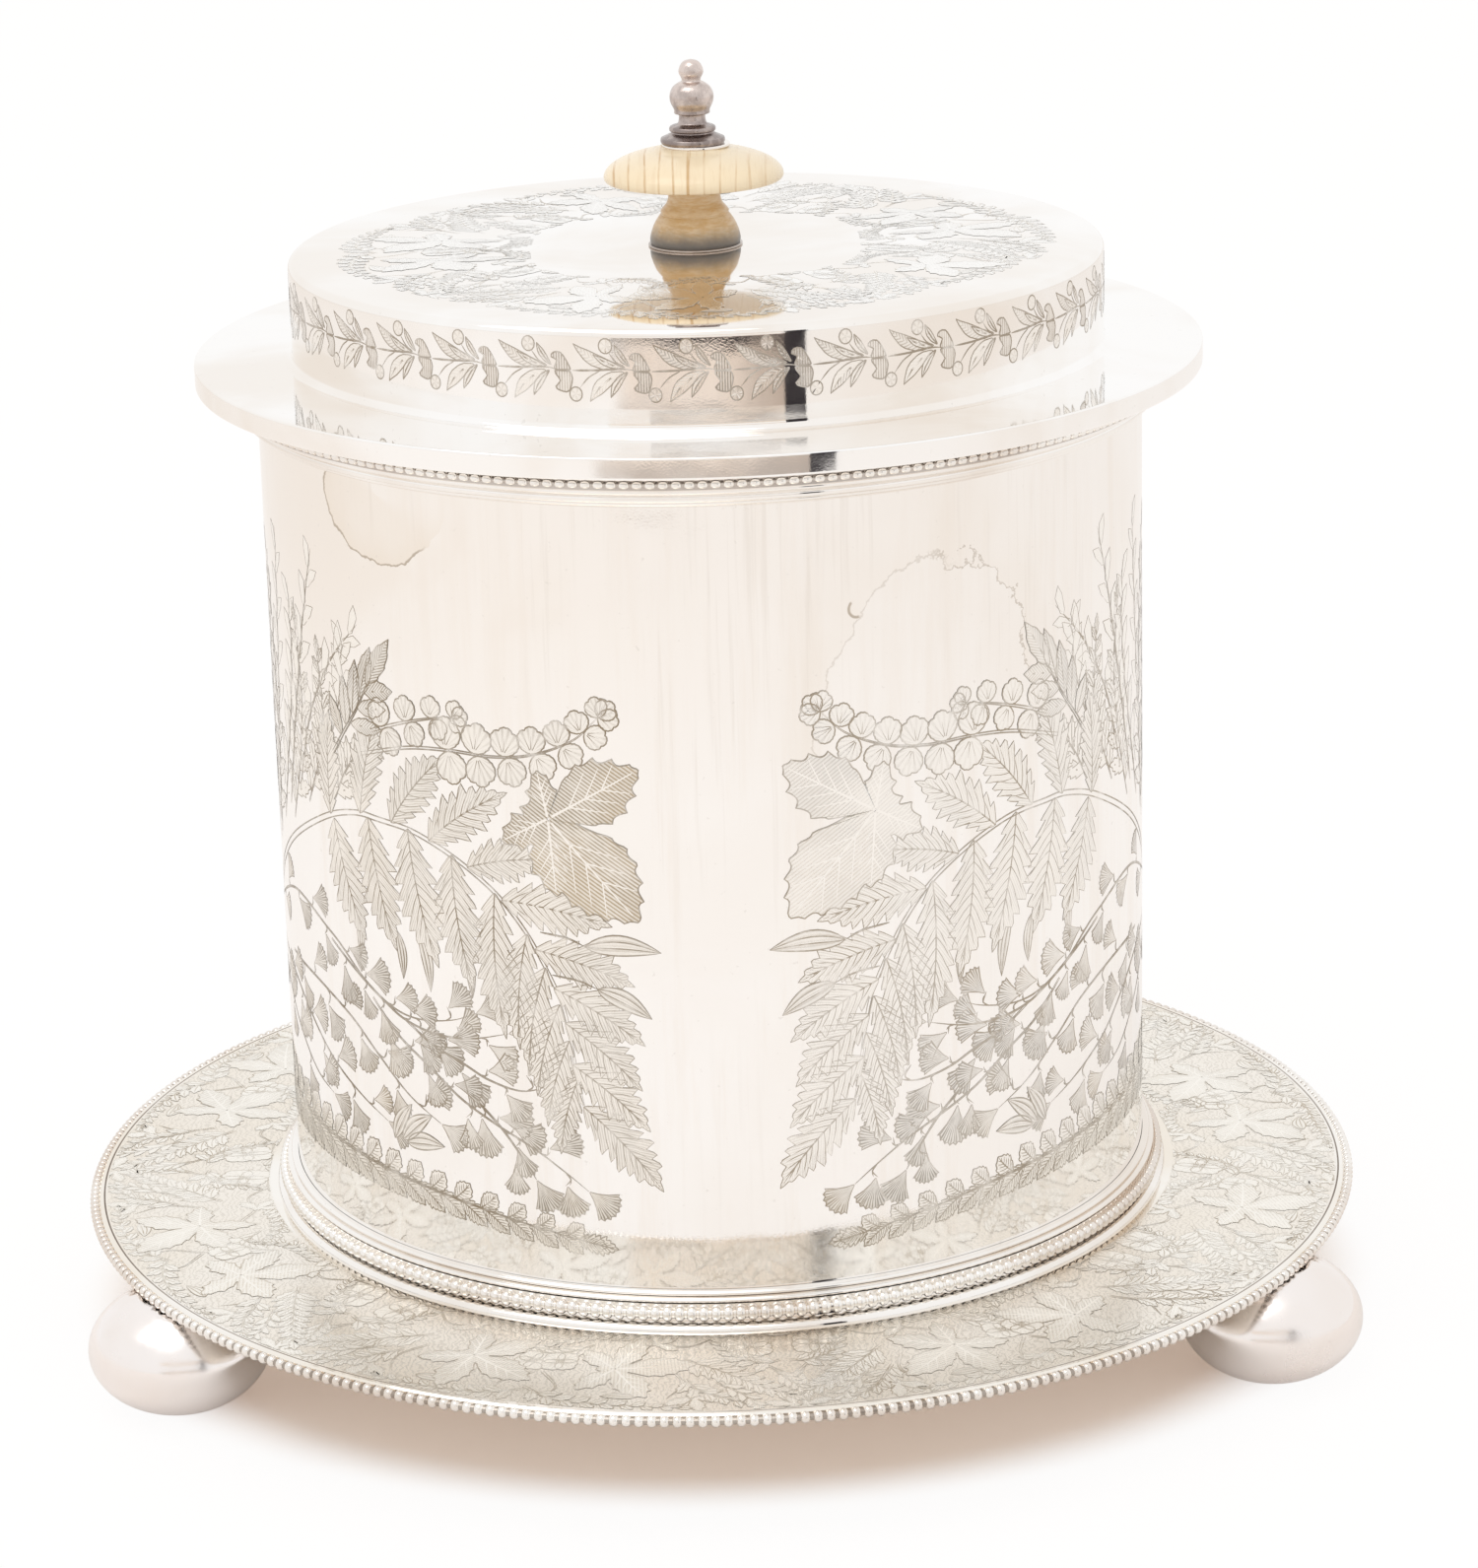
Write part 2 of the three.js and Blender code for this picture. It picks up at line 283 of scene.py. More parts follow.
# a row of separate beads on a thin wire, as one mesh
def beadRow(name, count, radius, height, size, wire, material, rings=6, sides=10, wireMaterial=None):
    deep, wide, tall = size
    verts, faces = [], []
    for i in range(count):
        turn = 2 * math.pi * (i + 0.5) / count
        outward = Vector((math.cos(turn), math.sin(turn), 0))
        along = Vector((-math.sin(turn), math.cos(turn), 0))
        start = len(verts)
        middle = outward * radius + Vector((0, 0, height))
        verts.append(middle + along * wide / 2)
        for r in range(1, rings):
            lat = math.pi * r / rings
            swell = math.sin(lat) ** beadFullness
            for s in range(sides):
                lon = 2 * math.pi * s / sides
                offset = outward * deep / 2 * math.cos(lon) + Vector((0, 0, tall / 2 * math.sin(lon)))
                verts.append(middle + along * wide / 2 * math.cos(lat) + offset * swell)
        verts.append(middle - along * wide / 2)
        last = len(verts) - 1
        for s in range(sides):
            t = (s + 1) % sides
            faces.append((start, start + 1 + t, start + 1 + s))
            faces.append((last, last - sides + s, last - sides + t))
            for r in range(rings - 2):
                a = start + 1 + r * sides
                faces.append((a + s, a + t, a + sides + t, a + sides + s))
    beads = meshObject(name, verts, faces, material)
    beads.data.shade_smooth()
    section = arcPoints(radius, height, wire / 2, wire / 2 * tall / deep, 0, 360, 10)[:-1]
    core = lathe(name + "_wire", section, wireMaterial or material)
    core.parent = beads
    return beads


# Studio

studio = {
    "worldGlow": 0.86,            # light on the object from all round
    "seenWorld": 1.0,
    "softboxPower": 3.2,
    "softboxSize": (1.0, 0.85),
    "softboxAt": (-0.35, -0.35, 1.25),
    "floorSize": 6,
    "floorColour": (0.95, 0.925, 0.90),
    "shadowWarmGlow": (0.24, 0.17, 0.13),      # a painted warm glow, added to what is seen of the floor near the box, that lightens and browns its shadow, and how far it turns white further out
    "floorWhite": 0.92,                     # and how far it turns white further out
    "warmWithin": 8.5, "whiteBeyond": 10,   # centimetres from the axis, on an oval
    "shadowOval": 0.87,
    "mirroredShare": 0.2,                   # of both, seen by the silver
    "cardAt": -0.70, "cardSteps": 24,
    "cardMottle": (0.95, 0.95, 0.95),
    "black": (0.04, 0.035, 0.04),
}

# Cards in front, out of view, that only the silver mirrors. Each has: left and right end, height of its foot
# and of its top half way, how far both bow down (up if below 0), colour at the left and at the right,
# how soft its left end is, how far it stands before the others.
cards = {
    "edge_card": (-0.31, 0.287, -0.0108, 0.001, 0.164, (0.66, 0.59, 0.54), (0.55, 0.48, 0.43), 0.06, 0),
    "wall_card": (-0.33, 0.287, 0.001, 0.05, 0.164, (1.0, 0.90, 0.82), (0.64, 0.54, 0.47), 0.12, 0),
    "foot_card": (-0.33, 0.287, 0.2845, 0.2905, -0.158, (1.0, 0.92, 0.85), (0.68, 0.58, 0.51), 0.12, 0),
    "pale_card": (-0.31, 0.287, 0.2, 0.2845, -0.158, (0.96, 0.87, 0.78), (0.96, 0.87, 0.78), 0, 0),
    "black_card": (0.287, 0.372, -0.0108, 0.2908, 0.164, studio["black"], studio["black"], 0, 0),
    "line_card": (-0.163, 0.29, 0.2897, 0.292, -0.158, studio["black"], studio["black"], 0, 0.001),
    "brim_card": (-0.163, 0.267, 0.2971, 0.2992, -0.158, (0.70, 0.66, 0.63), (0.62, 0.57, 0.54), 0, 0),
    "wedge_card": (-0.3, 0.29, 0.0232, 0.03, 0.148, studio["black"], studio["black"], 0, 0.001),
}
wedgeGrowth = 0.0035              # it thickens quickly towards its right end


def makeWorld():
    world = bpy.data.worlds.new("studio_world")
    world.use_nodes = True
    tree = world.node_tree
    tree.nodes.clear()
    out = tree.nodes.new("ShaderNodeOutputWorld")
    path = node(tree, "LightPath")
    seen = calc(tree, "MAXIMUM", path.outputs["Is Camera Ray"], path.outputs["Is Glossy Ray"])
    glow = node(tree, "Background", {"Color": (1, 0.99, 0.98, 1), "Strength": studio["worldGlow"]})
    white = node(tree, "Background", {"Color": (1, 1, 1, 1), "Strength": studio["seenWorld"]})
    mix = node(tree, "MixShader", {0: seen, 1: glow.outputs[0], 2: white.outputs[0]})
    tree.links.new(mix.outputs[0], out.inputs[0])
    bpy.context.scene.world = world


def makeLamp():
    data = bpy.data.lights.new("overhead_softbox", "AREA")
    data.shape = "RECTANGLE"
    data.size, data.size_y = studio["softboxSize"]
    data.energy = studio["softboxPower"]
    lamp = bpy.data.objects.new("overhead_softbox", data)
    lamp.location = studio["softboxAt"]
    aim = Vector((0, 0, 0.05)) - lamp.location
    lamp.rotation_euler = aim.to_track_quat("-Z", "Y").to_euler()
    bpy.context.scene.collection.objects.link(lamp)


def makeFloor():
    half = studio["floorSize"] / 2
    made, tree, shader = newMaterial("studio_floor", {"Roughness": 0.9})
    shader.inputs["Base Color"].default_value = (*studio["floorColour"], 1)
    oval = place(tree, (studio["shadowOval"], 1, 0))
    fromAxis = vectorCalc(tree, "LENGTH", oval)
    outward = ramp(tree, fromAxis, studio["warmWithin"], studio["whiteBeyond"], 0, studio["floorWhite"])
    path = node(tree, "LightPath")
    mirrored = times(tree, path.outputs["Is Glossy Ray"], studio["mirroredShare"])
    seen = calc(tree, "MAXIMUM", path.outputs["Is Camera Ray"], mirrored)
    # painted glow on the floor near the box: it lightens the box's shadow and turns it warm
    warm = node(tree, "Emission", {"Color": (*studio["shadowWarmGlow"], 1), "Strength": seen})
    near = node(tree, "AddShader", {0: shader.outputs[0], 1: warm.outputs[0]})
    white = node(tree, "Emission", {"Color": (1, 1, 1, 1), "Strength": 1})
    share = times(tree, outward, seen)
    both = node(tree, "MixShader", {0: share, 1: near.outputs[0], 2: white.outputs[0]})
    out = next(n for n in tree.nodes if n.bl_idname == "ShaderNodeOutputMaterial")
    tree.links.new(both.outputs[0], out.inputs[0])
    flat = [(-half, -half, ground), (half, -half, ground), (half, half, ground), (-half, half, ground)]
    meshObject("studio_floor", flat, [(0, 1, 2, 3)], made)


def makeCards():
    steps = studio["cardSteps"]
    for name, (left, right, foot, top, bow, leftTone, rightTone, soft, before) in cards.items():
        made, tree, shader = newMaterial(name, {"Roughness": 0.9, "Specular IOR Level": 0.1})
        spot = node(tree, "SeparateXYZ", {0: place(tree)})
        tone = blendColour(tree, ramp(tree, spot.outputs[0], 2, right * 100), leftTone, rightTone)
        mottle = ramp(tree, noise(tree, place(tree), 0.15, 3, 0.6), 0.3, 0.7)
        paint(tree, shader, blendColour(tree, mottle, tone, studio["cardMottle"], "MULTIPLY"))
        if soft:
            feed(tree, shader.inputs["Alpha"], ramp(tree, spot.outputs[0], left * 100, (left + soft) * 100))
        across = [left + (right - left) * i / steps for i in range(steps + 1)]
        lower = [foot - bow * x * x for x in across]
        upper = [top - bow * x * x for x in across]
        if name == "wedge_card":
            lower = [z - wedgeGrowth * (i / steps) ** 10 for i, z in enumerate(lower)]
        if name == "black_card":
            upper = [top + bow * x * x for x in across]
        verts = [(x, studio["cardAt"] + before, z) for x, z in zip(across + across, upper + lower)]
        card = meshObject(name, verts, [(i, i + 1, i + steps + 2, i + steps + 1) for i in range(steps)], made)
        card.visible_camera = card.visible_diffuse = card.visible_shadow = False


makeCamera()
makeWorld()
makeLamp()
makeFloor()
makeCards()
print("studio ready")


# Silver finishes

silver = {
    "bright": (0.972, 0.957, 0.94),
    "patina": (0.89, 0.83, 0.765),
    "lowRoughness": 0.02,
    "highRoughness": 0.08,
    "frostSoft": 0.04,            # cm, how softly an engraved band starts
    "tideTint": (0.83, 0.735, 0.62),
    "tideEdge": (0.42, 0.35, 0.27),
    "tideLine": 0.02,             # half of the edge's width in cm
    # middle and half size in cm, then strengths inside, outside and on the edge, how far the edge wanders,
    # and the way the drawn part of the edge faces, with the cosines where it starts and is full
    "marks": [
        ((-5.12, -5.30, 13.2), (1.35, 1.35, 1.12), 0.42, 0, 0.75, 0.35, (-0.36, 0.35, -0.86), 0.12, 0.35),
        ((3.57, -6.44, 9.0), (2.1, 2.1, 3.3), 0, 0.12, 0.5, 0.5, (0.6, 0.33, 0.72), 0.62, 0.85),
        ((3.57, -6.44, 9.0), (2.1, 2.1, 3.3), 0, 0.1, 0.28, 0.3, (-0.6, -0.33, 0.72), 0.5, 0.8),
        ((2.33, -6.98, 11.62), (0.14, 0.14, 0.15), 0.1, 0, 0.75, 0.5, (-0.8, -0.3, -0.5), 0.1, 0.4),
    ],
}


# tide marks left by drying
def tideMarks(tree, spot, colour, marks):
    swirl = node(tree, "TexNoise", {"Vector": spot, "Scale": 1.6, "Detail": 5, "Roughness": 0.6})
    wander = vectorCalc(tree, "SUBTRACT", swirl.outputs["Color"], (0.5, 0.5, 0.5))
    for middle, size, inside, outside, edge, reachOut, facing, fadeFrom, fadeTo in marks:
        share = vectorCalc(tree, "DIVIDE", vectorCalc(tree, "SUBTRACT", spot, middle), size)
        far = vectorCalc(tree, "LENGTH", vectorCalc(tree, "MULTIPLY_ADD", wander, (reachOut,) * 3, share))
        faces = vectorCalc(tree, "DOT_PRODUCT", vectorCalc(tree, "NORMALIZE", share), facing)
        drawn = ramp(tree, faces, fadeFrom, fadeTo)
        thin = silver["tideLine"] / max(size)
        ending = ramp(tree, far, 1, 1 + thin, 1, 0)
        line = times(tree, ramp(tree, far, 1 - 2.5 * thin, 1 - thin), ending)
        within = times(tree, ramp(tree, far, 0.6, 1.0, inside * 0.6, inside), ending)
        tint = times(tree, within, ramp(tree, faces, -0.6, 0.3))
        beyond = times(tree, ramp(tree, far, 1, 1 + thin), ramp(tree, far, 1.0, 1.7, outside, 0))
        colour = blendColour(tree, tint, colour, silver["tideTint"])
        colour = blendColour(tree, times(tree, beyond, drawn), colour, silver["tideTint"])
        colour = blendColour(tree, times(tree, line, drawn, edge), colour, silver["tideEdge"])
    return colour


# frost is an engraved band, from one radius to another in cm, scribbled all over
def silverFinish(name, bright, patina, streaksAndLidShade=0.0, wear=1.0, rough=1.0, marks=(), frost=None,
                 metallic=1.0, waves=1.0):
    made, tree, shader = newMaterial(name, {"Metallic": metallic})
    spot = place(tree)
    blotch = ramp(tree, noise(tree, spot, 0.22, 4, 0.55, 0.4), 0.38, 0.66)
    tall = noise(tree, place(tree, (1, 1, 0.07)), 1.3, 6, 0.65)
    streak = times(tree, ramp(tree, tall, 0.45, 0.68), streaksAndLidShade)
    amount = calc(tree, "MAXIMUM", times(tree, blotch, wear), streak, True)
    colour = blendColour(tree, amount, bright, patina)
    if streaksAndLidShade:            # and darker towards the top, below the lid, more so at the left: painted shade under the brim, in the patina's colour
        across, _, height = node(tree, "SeparateXYZ", {0: spot}).outputs
        upper = times(tree, ramp(tree, height, 6.5, 12.5, 0, 0.85), ramp(tree, across, -3, 5, 1, 0.5))
        colour = blendColour(tree, times(tree, upper, ramp(tree, blotch, 0, 1, 0.6, 1)), colour, patina)
        hair = ramp(tree, noise(tree, place(tree, (1, 1, 0.03)), 8, 3, 0.6), 0.52, 0.72)
        patch = ramp(tree, noise(tree, place(tree, (1, 1, 0.5)), 0.45, 2, 0.5), 0.44, 0.6)
        hair = times(tree, hair, patch, ramp(tree, height, 6, 10, 0.1, 0.32))
        colour = blendColour(tree, hair, colour, tuple(0.86 * c for c in patina))
    colour = tideMarks(tree, spot, colour, marks) if marks else colour
    specks = ramp(tree, noise(tree, spot, 9, 2, 0.5), 0.7, 0.78, 0, 0.25)
    colour = blendColour(tree, specks, colour, tuple(0.72 * c for c in patina))
    low, high = silver["lowRoughness"] * rough, silver["highRoughness"] * rough
    gloss = ramp(tree, noise(tree, spot, 0.8, 5, 0.6), 0.3, 0.75, low, high)
    grain = times(tree, noise(tree, spot, 30, 2, 0.5), 0.02)
    height = calc(tree, "ADD", noise(tree, spot, 0.55, 2, 0.4), grain)
    if frost:
        flat = vectorCalc(tree, "LENGTH", place(tree, (1, 1, 0)))
        soft = silver["frostSoft"]
        band = times(tree, ramp(tree, flat, frost[0] - soft, frost[0] + soft),
                     ramp(tree, flat, frost[1] - soft, frost[1] + soft, 1, 0))
        inputs = {"Vector": spot, "Scale": 3.2, "Distortion": 14, "Detail": 4, "Detail Scale": 1.6}
        scribble = node(tree, "TexWave", inputs).outputs["Fac"]
        cut = times(tree, ramp(tree, scribble, 0.55, 0.95), band)
        colour = blendColour(tree, times(tree, band, 0.55), colour, patina)
        colour = blendColour(tree, times(tree, cut, 0.4), colour, tuple(0.66 * c for c in patina))
        gloss = calc(tree, "ADD", gloss, times(tree, band, 0.16))
        height = calc(tree, "SUBTRACT", height, times(tree, cut, 0.03))
    paint(tree, shader, colour, gloss)
    addBump(tree, shader, height, 0.25 * waves, 0.0006)
    return made


plainSilver = silverFinish("silver_plain", silver["bright"], silver["patina"], waves=0.45)
barrelSilver = silverFinish("silver_barrel", silver["bright"], silver["patina"], streaksAndLidShade=0.5, wear=0.25,
                            marks=silver["marks"])
traySilver = silverFinish("silver_tray", (0.94, 0.91, 0.865), (0.87, 0.80, 0.70), rough=1.6,
                          frost=(7.9, 10.7))
mouldingSilver = silverFinish("silver_moulding", (0.93, 0.9, 0.865), (0.82, 0.75, 0.68))
footSilver = silverFinish("silver_foot", (0.93, 0.885, 0.865), (0.85, 0.77, 0.71), wear=0.6, rough=4)
beadSilver = silverFinish("silver_bead", (0.92, 0.89, 0.85), (0.74, 0.66, 0.59), rough=1.2)
insideSilver = silverFinish("silver_inside", (0.86, 0.82, 0.76), (0.7, 0.62, 0.53), streaksAndLidShade=0.5, rough=5,
                            metallic=0.55)      # dulled by use
borderAndBeadShadeSilver = silverFinish("silver_border_line_and_bead_shade", (0.47, 0.425, 0.38), (0.32, 0.26, 0.21), rough=4)
seatAndBeadShadeSilver = silverFinish("silver_knob_seat_and_bead_shade", (0.60, 0.55, 0.51), (0.42, 0.36, 0.32), rough=4)


# Tray, feet, barrel and mouldings

tray = {
    "edgeRound": 0.3 * mm,
    "borderLineAt": 2.55 * mm,     # in from the outer edge
    "borderLineWide": 0.3 * mm,
    "borderLineDeep": 0.16 * mm,
    "beadCount": 346,
    "bead": 1.9 * mm,
    "overlap": 0.35 * mm,          # how far the sheet runs in under the beads
}


def makeTray():
    edge = trayRadius - tray["bead"] + tray["overlap"]
    line = trayRadius - tray["borderLineAt"]
    half, deep = tray["borderLineWide"] / 2, tray["borderLineDeep"]
    outline = [
        (0, trayBottom),
        (edge - tray["edgeRound"], trayBottom),
        (edge, trayBottom + tray["edgeRound"]),
        (edge, trayTop - tray["edgeRound"]),
        (edge - tray["edgeRound"], trayTop),
        (line + half, trayTop),
        (line, trayTop - deep),
        (line - half, trayTop),
        (wallRadius, trayTop),
        (wallRadius / 2, trayTop),
        (0, trayTop),
    ]
    plate = lathe("tray_plate", outline, traySilver, steps=360, closed=False)
    plate.data.materials.append(borderAndBeadShadeSilver)
    for face in plate.data.polygons:
        if abs(math.hypot(face.center.x, face.center.y) - line) < half and face.center.z > trayTop - deep:
            face.material_index = 1
    settle(plate, "box", "silver_plate", "tray")
    size = tray["bead"]
    height = topOf("tray_bead_wire") - size / 2
    pitch = 2 * math.pi * (trayRadius - size / 2) / tray["beadCount"]
    # the wire takes the dark border-line silver and shows between the beads: painted shade in the gaps
    beads = beadRow("tray_beads", tray["beadCount"], trayRadius - size / 2, height, (size, pitch * 0.8, size),
                    size * 0.6, beadSilver, wireMaterial=borderAndBeadShadeSilver)
    settle(beads, "box", "silver_plate", "tray_bead_wire")


foot = {"flat": 3.6 * mm, "rings": 40, "sides": 96, "seatGap": 0.05 * mm}


def makeFeet():
    for where in ("front_left", "front_right", "rear"):
        low, high = corners("foot_" + where + "_lower")
        cx, cy = (low[0] + high[0]) / 2, (low[1] + high[1]) / 2
        radius = (high[0] - low[0]) / 2
        middle = high[2]
        rise = (middle - low[2]) / math.sqrt(1 - (foot["flat"] / radius) ** 2)
        seat = bottomOf("tray_bead_wire") - foot["seatGap"]
        start = math.degrees(math.acos(foot["flat"] / radius))
        outline = [(0, low[2])]
        outline += arcPoints(0, middle, radius, rise, -start, start, foot["rings"])
        outline.append((0, 2 * middle - low[2]))
        bun = lathe("foot_" + where + "_bun", outline, footSilver, steps=foot["sides"], closed=False,
                    smoothAngle=60)
        for vertex in bun.data.vertices:
            vertex.co.x += cx
            vertex.co.y += cy
            fromAxis = math.hypot(vertex.co.x, vertex.co.y)
            if fromAxis < trayRadius + foot["seatGap"] and vertex.co.z > seat:
                vertex.co.z = seat
        bun.data.update()
        settle(bun, "box", "silver_plate", "foot_" + where + "_upper", "foot_" + where + "_lower")


barrel = {"sheet": 1.2 * mm, "rimRound": 0.3 * mm, "wallSteps": 24}


def makeBarrel():
    inside = wallRadius - barrel["sheet"]
    r = barrel["rimRound"]
    low = bottomOf("barrel_wall")
    steps = barrel["wallSteps"]
    outside = [(wallRadius, low)]
    outside += [(wallRadius, low + (rimTop - low - r) * i / steps) for i in range(1, steps)]
    outside += [(wallRadius, rimTop - r), (wallRadius - r, rimTop), (inside + r, rimTop)]
    inner = [(inside, low + (rimTop - low - r) * i / steps) for i in range(steps, -1, -1)]
    wall = lathe("barrel_body", outside + inner, barrelSilver, steps=360)
    wall.data.materials.append(insideSilver)
    for face in wall.data.polygons:
        if face.normal.dot(Vector((face.center.x, face.center.y, 0))) < 0:
            face.material_index = 1
    settle(wall, "box", "silver_plate", "barrel_wall")

    low, high = corners("barrel_floor")
    disc = [(0, low[2]), (high[0], low[2]), (high[0], high[2] - r), (high[0] - r, high[2])]
    disc += [(high[0] * f, high[2]) for f in (0.75, 0.5, 0.25, 0)]
    floorPlate = lathe("barrel_base_plate", disc, insideSilver, closed=False)
    settle(floorPlate, "box", "silver_plate", "barrel_floor")


baseRing = {
    "inset": 0.3 * mm,
    "stepWide": 3.6 * mm, "stepTall": 1.05 * mm,
    "beadDeep": 1.9 * mm, "beadTall": 2.4 * mm, "beadInset": 0.5 * mm, "beadCount": 243,
    "rollWide": 1.7 * mm, "rollTall": 1.8 * mm,
}


def makeBaseRing():
    inside = wallRadius + baseRing["inset"] * 0.2
    wide, tall = baseRing["stepWide"], baseRing["stepTall"]
    deep, high = baseRing["beadDeep"], baseRing["beadTall"]
    outer = wallRadius + baseRing["inset"] + wide
    beadRadius = outer - baseRing["beadInset"] - deep / 2
    beadHeight = trayTop + tall + baseRing["inset"] + high / 2
    recess = beadRadius - deep * 0.34
    rollBottom = beadHeight + high / 2 + baseRing["inset"]
    rollWide, rollTall = baseRing["rollWide"], baseRing["rollTall"]
    rollMiddle = wallRadius + baseRing["inset"]
    outline = [(inside, trayTop)]
    outline += arcPoints(outer - wide * 0.45, trayTop, wide * 0.45, tall, 0, 90, 8)
    outline += [(recess, trayTop + tall), (recess, rollBottom)]
    outline += arcPoints(rollMiddle + rollWide * 0.45, rollBottom + rollTall * 0.26,
                         rollWide * 0.55, rollTall * 0.26, -80, 80, 8)
    outline += arcPoints(rollMiddle + rollWide * 0.1, rollBottom + rollTall * 0.76,
                         rollWide * 0.46, rollTall * 0.24, -70, 90, 8)
    outline.append((inside, rollBottom + rollTall))
    ring = lathe("base_ring", outline, mouldingSilver, steps=360, smoothAngle=50)
    settle(ring, "box", "silver_plate", "base_moulding")
    pitch = 2 * math.pi * beadRadius / baseRing["beadCount"]
    beads = beadRow("base_beads", baseRing["beadCount"], beadRadius, beadHeight, (deep, pitch * 0.93, high),
                    deep * 0.55, beadSilver)
    settle(beads, "box", "silver_plate", "base_bead_wire")


rimRing = {
    "inset": 0.3 * mm,
    "plateWide": 5.9 * mm, "plateTall": 2.9 * mm,
    "bead": 1.44 * mm, "beadInset": 0.9 * mm, "beadCount": 246,
    "reedWide": 2.7 * mm, "reedTall": 3.7 * mm,
}


def makeRimRing():
    inside = wallRadius + rimRing["inset"] * 0.2
    base = wallRadius + rimRing["inset"]
    bead = rimRing["bead"]
    plateBottom = rimTop - rimRing["plateTall"]
    beadRadius = base + rimRing["plateWide"] - rimRing["beadInset"] - bead / 2
    beadHeight = plateBottom - rimRing["inset"] - bead / 2
    recess = beadRadius - bead * 0.3
    reedTop = beadHeight - bead / 2 - rimRing["inset"]
    wide, tall = rimRing["reedWide"], rimRing["reedTall"]
    bottom = reedTop - tall
    outline = [(inside, bottom)]
    outline += arcPoints(base, bottom + tall * 0.26, wide * 0.42, tall * 0.2, -80, 20, 6)
    outline += arcPoints(base + wide * 0.52, bottom + tall * 0.5, wide * 0.26, tall * 0.2, -75, 75, 8)
    outline += arcPoints(base + wide * 0.78, bottom + tall * 0.84, wide * 0.3, tall * 0.16, -70, 88, 8)
    outline += [
        (recess, reedTop),
        (recess, plateBottom),
        (base + rimRing["plateWide"], plateBottom),
        (base + rimRing["plateWide"], rimTop),
        (inside, rimTop),
    ]
    ring = lathe("rim_ring", outline, mouldingSilver, steps=360, smoothAngle=50)
    ring.data.materials.append(seatAndBeadShadeSilver)          # dark behind the beads: painted shade in the recess
    for face in ring.data.polygons:
        if abs(math.hypot(face.center.x, face.center.y) - recess) < 0.1 * mm and face.center.z > reedTop:
            face.material_index = 1
    settle(ring, "box", "silver_plate", "rim_moulding")
    pitch = 2 * math.pi * beadRadius / rimRing["beadCount"]
    # the wire shows dark between the beads: painted shade in the gaps
    beads = beadRow("rim_beads", rimRing["beadCount"], beadRadius, beadHeight, (bead, pitch * 0.86, bead),
                    bead * 0.4, beadSilver, sides=8, wireMaterial=seatAndBeadShadeSilver)
    settle(beads, "box", "silver_plate", "rim_bead_wire")


# Lid

lid = {
    "sheet": 1.2 * mm,
    "edgeRound": 0.28 * mm,
    "edgeLean": 0.02 * mm,
    "flare": 1.3 * mm,
    "shoulder": 1.2 * mm,
    "crownSetback": 6.2 * mm,
    "rodHole": 1.8 * mm,
    "wallSteps": 8,
    "collarSheet": 1 * mm, "collarRound": 0.2 * mm,
}
crownRadius = wallRadius - lid["crownSetback"]


def makeLid():
    sheet = lid["sheet"]
    edgeBottom = bottomOf("lid_brim")
    e, lean = lid["edgeRound"], lid["edgeLean"]
    keep = 1.5 * e                    # the flats start here, so that their shading stays flat
    brim = [
        (crownRadius - sheet, brimTop - sheet),
        (brimRadius - sheet, brimTop - sheet),
        (brimRadius - sheet, edgeBottom),
        (brimRadius, edgeBottom),
        (brimRadius - 0.12 * lean, edgeBottom + keep),
        (brimRadius - 0.88 * lean, brimTop - keep),
        (brimRadius - lean, brimTop),
        (brimRadius - keep, brimTop),
        (crownRadius + lid["flare"], brimTop),
        (crownRadius - sheet, brimTop),
    ]
    brim = filleted(brim, (0, e, e, e, 0, 0, e, 0, 0, 0))
    brimPiece = lathe("lid_brim_plate", brim, plainSilver, steps=360)
    settle(brimPiece, "lid", "silver_plate", "lid_brim")

    flare, shoulder = lid["flare"], lid["shoulder"]
    crown = [(crownRadius - sheet, brimTop)]
    crown += arcPoints(crownRadius + flare, brimTop + flare, flare, flare, 270, 180, 8)
    steps = lid["wallSteps"]
    wallTop = crownTop - shoulder
    shares = [0.01] + [i / steps for i in range(1, steps)] + [0.99]     # close rings keep it straight
    crown += [(crownRadius, brimTop + flare + (wallTop - brimTop - flare) * share) for share in shares]
    crown += arcPoints(crownRadius - shoulder, wallTop, shoulder, shoulder, 0, 90, 10)
    crown += [(crownRadius * f, crownTop) for f in (0.8, 0.6, 0.4, 0.2)]
    crown += [(lid["rodHole"], crownTop), (lid["rodHole"], crownTop - sheet)]
    crown += arcPoints(crownRadius - shoulder, wallTop, shoulder - sheet, shoulder - sheet, 90, 0, 4)
    crownPiece = lathe("lid_drum", crown, plainSilver, steps=360)
    crownPiece.data.materials.append(insideSilver)
    for face in crownPiece.data.polygons:
        inward = face.normal.dot(Vector((face.center.x, face.center.y, 0))) < -1e-4
        if face.normal.z < -0.5 or inward:
            face.material_index = 1
    settle(crownPiece, "lid", "silver_plate", "lid_crown")

    low, high = corners("lid_bezel")
    inside = high[0] - lid["collarSheet"]
    collar = [(inside, low[2]), (high[0], low[2]), (high[0], high[2]), (inside, high[2])]
    r = lid["collarRound"]
    collarPiece = lathe("lid_collar", filleted(collar, (r, r, 0, 0)), insideSilver)
    settle(collarPiece, "lid", "silver_plate", "lid_bezel")


makeTray()
makeFeet()
makeBarrel()
makeBaseRing()
makeRimRing()
makeLid()
print("silver pieces ready")


# Knob

